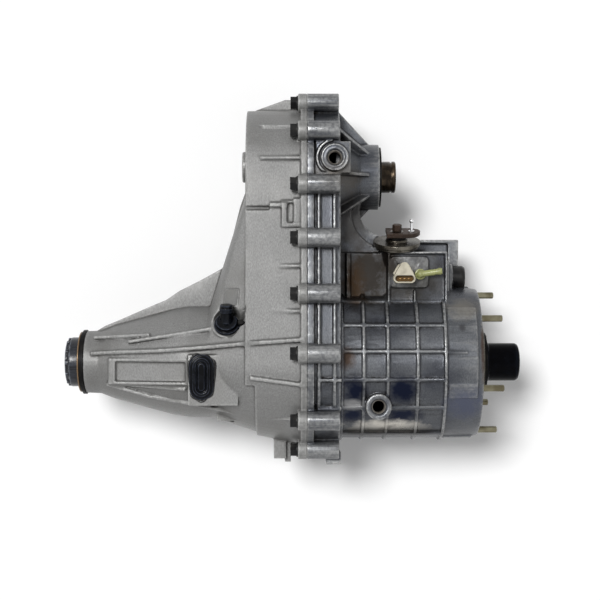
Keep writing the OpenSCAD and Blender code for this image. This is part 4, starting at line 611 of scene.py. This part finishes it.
# from X, to X, middle and half width in degrees, radius of the top
COLLAR_STEPS = [(-0.041, -0.007, FIRST_STUD + 60 * index, 5.5, 0.0937) for index in range(6)]
COLLAR_STEPS += [(-0.042, -0.007, NEAR_PAD + turn, 24.5, 0.0931) for turn in (0, 180)]
COLLAR_STEPS += [(-0.043, -0.020, 80.7, 0.5, 0.0940)]


def collar_steps():
    """A mesh of the low blocks, each a closed shell that reaches into the collar."""
    shape = bmesh.new()
    for x_low, x_high, middle, half, top in COLLAR_STEPS:
        start = math.radians(middle - half)
        corners = [(x_low, COLLAR_ROOT), (x_high, COLLAR_ROOT), (x_high, top), (x_low, top)]
        verts = [shape.verts.new((x, r * math.cos(start), r * math.sin(start))) for x, r in corners]
        edges = [shape.edges.new((verts[i - 1], verts[i])) for i in range(4)]
        bmesh.ops.spin(shape, geom=verts + edges, cent=(0, 0, 0), axis=(1, 0, 0),
                       angle=math.radians(2 * half), steps=8, use_merge=False, use_duplicate=False)
    bmesh.ops.holes_fill(shape, edges=[edge for edge in shape.edges if edge.is_boundary], sides=4)
    bmesh.ops.recalc_face_normals(shape, faces=shape.faces)
    print("steps:", len(COLLAR_STEPS), "open edges:", sum(edge.is_boundary for edge in shape.edges))
    mesh = bpy.data.meshes.new("collar_steps")
    shape.to_mesh(mesh)
    shape.free()
    return mesh


rear_skin = cast_copy("rear_case", "rear_case_casting", 0.0012, 2, 0.22)
front_skin = cast_copy("front_case", "front_case_casting", 0.0011, 1, 0.16, collar_steps())
for skin, node, slot in ((rear_skin, "rear_case", "cast_rear"), (front_skin, "front_case", "cast_front")):
    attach(skin, "case")
    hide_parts(node)

# %% [markdown]
# Rubber, forged and moulded pieces are round-edged all over too, only with
# smaller voxels. Their highlights run along those edges, and without them a black
# piece on a black piece can't be seen at all.

# %% Round the moulded and forged pieces
ROUNDED = (
    # node, body, slot, voxel, smoothing, share of faces kept
    ("window_grommet", "case", "black_rubber", 0.0006, 3, 0.5),
    ("speed_sensor", "case", "black_plastic", 0.0006, 2, 0.4),
    ("tail_plug", "tail_plug", "black_plastic", 0.0008, 2, 0.4),
    ("input_cap", "input_cap", "black_plastic", 0.0009, 2, 0.4),
    ("shift_lever", "selector", "dark_steel", 0.0005, 2, 0.4),
    ("indicator_switch", "case", "white_plastic", 0.0005, 2, 0.4),
    ("rail_plug", "case", "black_bolt", 0.0006, 2, 0.4),
    ("vent_tube", "case", "vent_plastic", 0.0005, 1, 0.5),
    ("selector_retainer", "case", "bare_steel", 0.0006, 1, 0.4),
)
for node, body, slot, voxel, smoothing, share in ROUNDED:
    copy = cast_copy(node, node + "_moulded", voxel, smoothing, share)
    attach(copy, body)
    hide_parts(node)
print("rounded pieces:", len(ROUNDED))

# %% [markdown]
# A few thin pieces are made from nothing: thread, a rim, a bead and a seal. Each
# starts as a bmesh, a mesh in memory with operators such as spin and bevel. The
# first helper below closes its seams, turns its faces outwards and makes it an
# object that rides on the case. The second spins a closed outline into a ring,
# as a lathe would.

# %% A finished piece from a bmesh, and a spun ring
MERGE_REACH = 0.00001


def merged_piece(shape, name, material):
    """A finished object from a bmesh, fixed to the case."""
    bmesh.ops.remove_doubles(shape, verts=shape.verts, dist=MERGE_REACH)
    bmesh.ops.recalc_face_normals(shape, faces=shape.faces)
    mesh = bpy.data.meshes.new(name)
    shape.to_mesh(mesh)
    shape.free()
    mesh.materials.append(material)
    piece = bpy.data.objects.new(name, mesh)
    bpy.context.scene.collection.objects.link(piece)
    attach(piece, "case")
    print(name, "faces:", len(mesh.polygons))
    return piece


def spun_ring(points, centre, axis, steps, name, material):
    """A closed outline of points, spun a full turn round an axis."""
    shape = bmesh.new()
    outline = [shape.verts.new(point) for point in points]
    edges = [shape.edges.new((outline[i - 1], outline[i])) for i in range(len(outline))]
    bmesh.ops.spin(shape, geom=outline + edges, cent=centre, axis=axis, angle=math.tau,
                   steps=steps, use_merge=True, use_duplicate=False)
    return merged_piece(shape, name, material)


# %% [markdown]
# The solid keeps each threaded port as a plain bore, because that is what a plug
# is fitted by. The eye misses the thread, so each port gets a thin sleeve with a
# zigzag wall. A real thread climbs, but at this size plain rings look the same,
# and they need one spin only.

# %% Threads in the open ports
PORTS = (
    # name, X, Y and the height of the mouth
    ("lower_port_thread", -0.1234, -0.0487, 0.0894),
    ("upper_port_thread", -0.1745, 0.244, 0.0834),
)
THREAD_PITCH = 0.0015
THREAD_TURNS = 12
SLEEVE_RADIUS = 0.00815
ROOT_RADIUS = 0.0080
CREST_RADIUS = 0.0071
for name, x, y, top in PORTS:
    foot = top - THREAD_TURNS * THREAD_PITCH
    wall = [Vector((x + SLEEVE_RADIUS, y, foot)), Vector((x + SLEEVE_RADIUS, y, top))]
    for turn in range(THREAD_TURNS):
        height = top - THREAD_PITCH * turn
        wall.append(Vector((x + ROOT_RADIUS, y, height)))
        wall.append(Vector((x + CREST_RADIUS, y, height - THREAD_PITCH / 2)))
    spun_ring(wall, (x, y, top), (0, 0, 1), 48, name, cut_metal)

# %% [markdown]
# The tail seal has a steel case under its rubber. Its rim shows as a tan line
# between the black plug and the casting. A small circle spun round the main axis
# makes it.

# %% Tan rim of the tail seal
RIM_X = -0.4846
RIM_RADIUS = 0.0362
RIM_BEAD = 0.0009
RIM_SIDES = 10
rim = []
for side in range(RIM_SIDES):
    angle = math.tau * side / RIM_SIDES
    rim.append(Vector((RIM_X + RIM_BEAD * math.cos(angle), 0, RIM_RADIUS + RIM_BEAD * math.sin(angle))))
spun_ring(rim, (0, 0, 0), (1, 0, 0), 96, "tail_seal_rim", tan_rim)

# %% [markdown]
# The grommet was pressed in with black sealant, and the sealant has squeezed out
# in an uneven bead. A closed curve with a round section makes it: each point has
# its own radius, so the bead swells and thins like the real one.

# %% Bead of sealant round the grommet
BEAD_CENTRE = Vector((-0.332, -0.015, 0.0714))
BEAD_POINTS = 48
BEAD_RADIUS = 0.0152
BEAD_HALF_LENGTH = 0.0124
bead_path = bpy.data.curves.new("sealant_bead", "CURVE")
bead_path.dimensions = "3D"
bead_path.bevel_depth = 0.0013
bead_path.bevel_resolution = 3
bead_path.resolution_u = 3
bead = bead_path.splines.new("BEZIER")
bead.bezier_points.add(BEAD_POINTS - 1)
bead.use_cyclic_u = True
for i, point in enumerate(bead.bezier_points):
    turn = math.tau * i / BEAD_POINTS
    reach = BEAD_RADIUS + 0.0007 * math.sin(3 * turn + 0.6) + 0.0005 * math.sin(7 * turn)
    # The two halves of the circle are moved apart, which makes it an oval
    apart = BEAD_HALF_LENGTH * max(-1.0, min(1.0, 4 * math.sin(turn)))
    point.co = BEAD_CENTRE + Vector((reach * math.cos(turn), apart + reach * math.sin(turn), 0.0))
    point.radius = 0.9 + 0.45 * math.sin(2 * turn + 1.0) * math.sin(5 * turn)
    point.handle_left_type = point.handle_right_type = "AUTO"
bead_object = bpy.data.objects.new("sealant_bead", bead_path)
bpy.context.scene.collection.objects.link(bead_object)
bead_seen = bead_object.evaluated_get(bpy.context.evaluated_depsgraph_get())
bead_shape = bmesh.new()
bead_shape.from_mesh(bpy.data.meshes.new_from_object(bead_seen))
bpy.data.objects.remove(bead_object)
for face in bead_shape.faces:
    face.smooth = True
merged_piece(bead_shape, "grommet_sealant", sealant)

# %% [markdown]
# Inside the connector a seal of amber silicone surrounds the pins. It is a flat
# box, and a bevel on its four upright edges gives it the round ends of the slot
# that it fills.

# %% Amber seal in the connector
SEAL_SIZE = (0.0216, 0.0069, 0.0014)
SEAL_CORNER = 0.0034
SEAL_X, SEAL_Y, SEAL_LIFT = -0.0926, 0.1015, 0.0008
pins_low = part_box("switch_terminals")[0]
seal = bmesh.new()
bmesh.ops.create_cube(seal, size=1.0)
bmesh.ops.scale(seal, verts=seal.verts, vec=SEAL_SIZE)
upright = [edge for edge in seal.edges if abs(edge.verts[0].co.z - edge.verts[1].co.z) > SEAL_SIZE[2] / 2]
bmesh.ops.bevel(seal, geom=upright, offset=SEAL_CORNER, offset_type="OFFSET", segments=8, profile=0.5,
                affect="EDGES", material=-1)
bmesh.ops.translate(seal, verts=seal.verts, vec=(SEAL_X, SEAL_Y, pins_low.z + SEAL_LIFT))
merged_piece(seal, "connector_seal", amber_seal)

# %% [markdown]
# Turned and moulded pieces have small bevels too. A Bevel modifier rounds only
# the edges where two faces meet at a real angle; Weld first joins the loose
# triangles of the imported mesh.

# %% Soften the edges of the smaller pieces
SOFT_EDGES = {
    # node: width of the bevel in metres
    "case_bolts": 0.0006,
    "adapter_studs": 0.0004,
    "front_output_shaft": 0.0006,
    "selector_shaft": 0.0005,
    "id_plate": 0.0002,
    "input_retainer": 0.0008,
}
for name, width in SOFT_EDGES.items():
    piece = nodes[name]
    weld = piece.modifiers.new("weld", "WELD")
    weld.merge_threshold = 2 * WELD_REACH
    bevel = piece.modifiers.new("bevel", "BEVEL")
    bevel.width = width
    bevel.segments = 2
    bevel.limit_method = "ANGLE"
    bevel.angle_limit = math.radians(35)
    bevel.harden_normals = True
print("softened:", list(SOFT_EDGES))

# %% [markdown]
# The portrait is taken from straight above, so the floor is the background. It
# is white to the camera and to anything shiny, and still takes a soft shadow.

# %% Floor
VIEW_CENTRE = (-0.2155, 0.0763)
FLOOR_GAP = 0.0005
FLOOR_REACH = 6.0


def straight_rays(tree):
    """1 for what the camera sees at first hand, in a reflection or through a clear piece."""
    ray = put(tree, "ShaderNodeLightPath")
    seen = put(tree, "ShaderNodeMath", None,
               {0: ray.outputs["Is Camera Ray"], 1: ray.outputs["Is Glossy Ray"]}, operation="MAXIMUM")
    also = put(tree, "ShaderNodeMath", None, {0: seen.outputs[0], 1: ray.outputs["Is Transmission Ray"]},
               operation="MAXIMUM")
    return also.outputs[0]


def floor_material():
    """Matt white with a faint glow that only straight rays see."""
    material = bpy.data.materials.new("studio_floor")
    material.use_nodes = True
    tree = material.node_tree
    principled = tree.nodes["Principled BSDF"]
    principled.inputs["Base Color"].default_value = (0.9, 0.9, 0.9, 1.0)
    principled.inputs["Roughness"].default_value = 0.9
    principled.inputs["Specular IOR Level"].default_value = 0.0
    principled.inputs["Emission Color"].default_value = (1.0, 1.0, 1.0, 1.0)
    glow = multiply(tree, straight_rays(tree), 0.06)
    tree.links.new(glow, principled.inputs["Emission Strength"])
    return material


ground = bmesh.new()
bmesh.ops.create_grid(ground, x_segments=1, y_segments=1, size=FLOOR_REACH)
bmesh.ops.translate(ground, verts=ground.verts, vec=(*VIEW_CENTRE, cad_low.z - FLOOR_GAP))
floor_mesh = bpy.data.meshes.new("floor")
ground.to_mesh(floor_mesh)
ground.free()
floor = bpy.data.objects.new("floor", floor_mesh)
bpy.context.scene.collection.objects.link(floor)
floor.data.materials.append(floor_material())
print("floor at z:", round(cad_low.z - FLOOR_GAP, 4))

# %% [markdown]
# One wide sun from the upper left gives the soft shadow to the lower right, and
# a weak one opposite keeps the far sides readable. The world is white where
# metal reflects it and dim as a light, so that colours keep their level.

# %% World and lamps
world = bpy.data.worlds.new("studio")
bpy.context.scene.world = world
world.use_nodes = True
sky = world.node_tree
background = sky.nodes["Background"]
background.inputs["Color"].default_value = (1.0, 1.0, 1.0, 1.0)
level = put(sky, "ShaderNodeMapRange", {"To Min": 0.3, "To Max": 1.0}, {"Value": straight_rays(sky)})
sky.links.new(level.outputs["Result"], background.inputs["Strength"])
SUNS = (
    # name, strength, spread in degrees, direction of travel
    ("key", 2.6, 18, (0.31, -0.29, -1.0)),
    ("fill", 0.2, 60, (-0.6, 0.6, -0.8)),
)
for name, strength, spread, direction in SUNS:
    lamp = bpy.data.lights.new(name, "SUN")
    lamp.energy = strength
    lamp.angle = math.radians(spread)
    holder = bpy.data.objects.new(name, lamp)
    bpy.context.scene.collection.objects.link(holder)
    holder.rotation_mode = "QUATERNION"
    holder.rotation_quaternion = Vector(direction).to_track_quat("-Z", "Y")
print("suns:", [row[0] for row in SUNS])

# %% [markdown]
# The camera hangs 1.7 m over the part and looks straight down. An unturned
# camera already looks along -Z, so it only needs its place and its lens.

# %% Camera
CAMERA_HEIGHT = 1.7
camera = bpy.data.objects.new("camera", bpy.data.cameras.new("camera"))
bpy.context.scene.collection.objects.link(camera)
camera.location = (*VIEW_CENTRE, CAMERA_HEIGHT)
camera.data.lens = 82.6
camera.data.sensor_width = 36.0
camera.data.clip_start = 0.05
bpy.context.scene.camera = camera
print("view is wide, in degrees:", round(math.degrees(camera.data.angle), 1))

# %% [markdown]
# The Standard view transform shows colours as they were written.

# %% View
bpy.context.scene.view_settings.view_transform = "Standard"
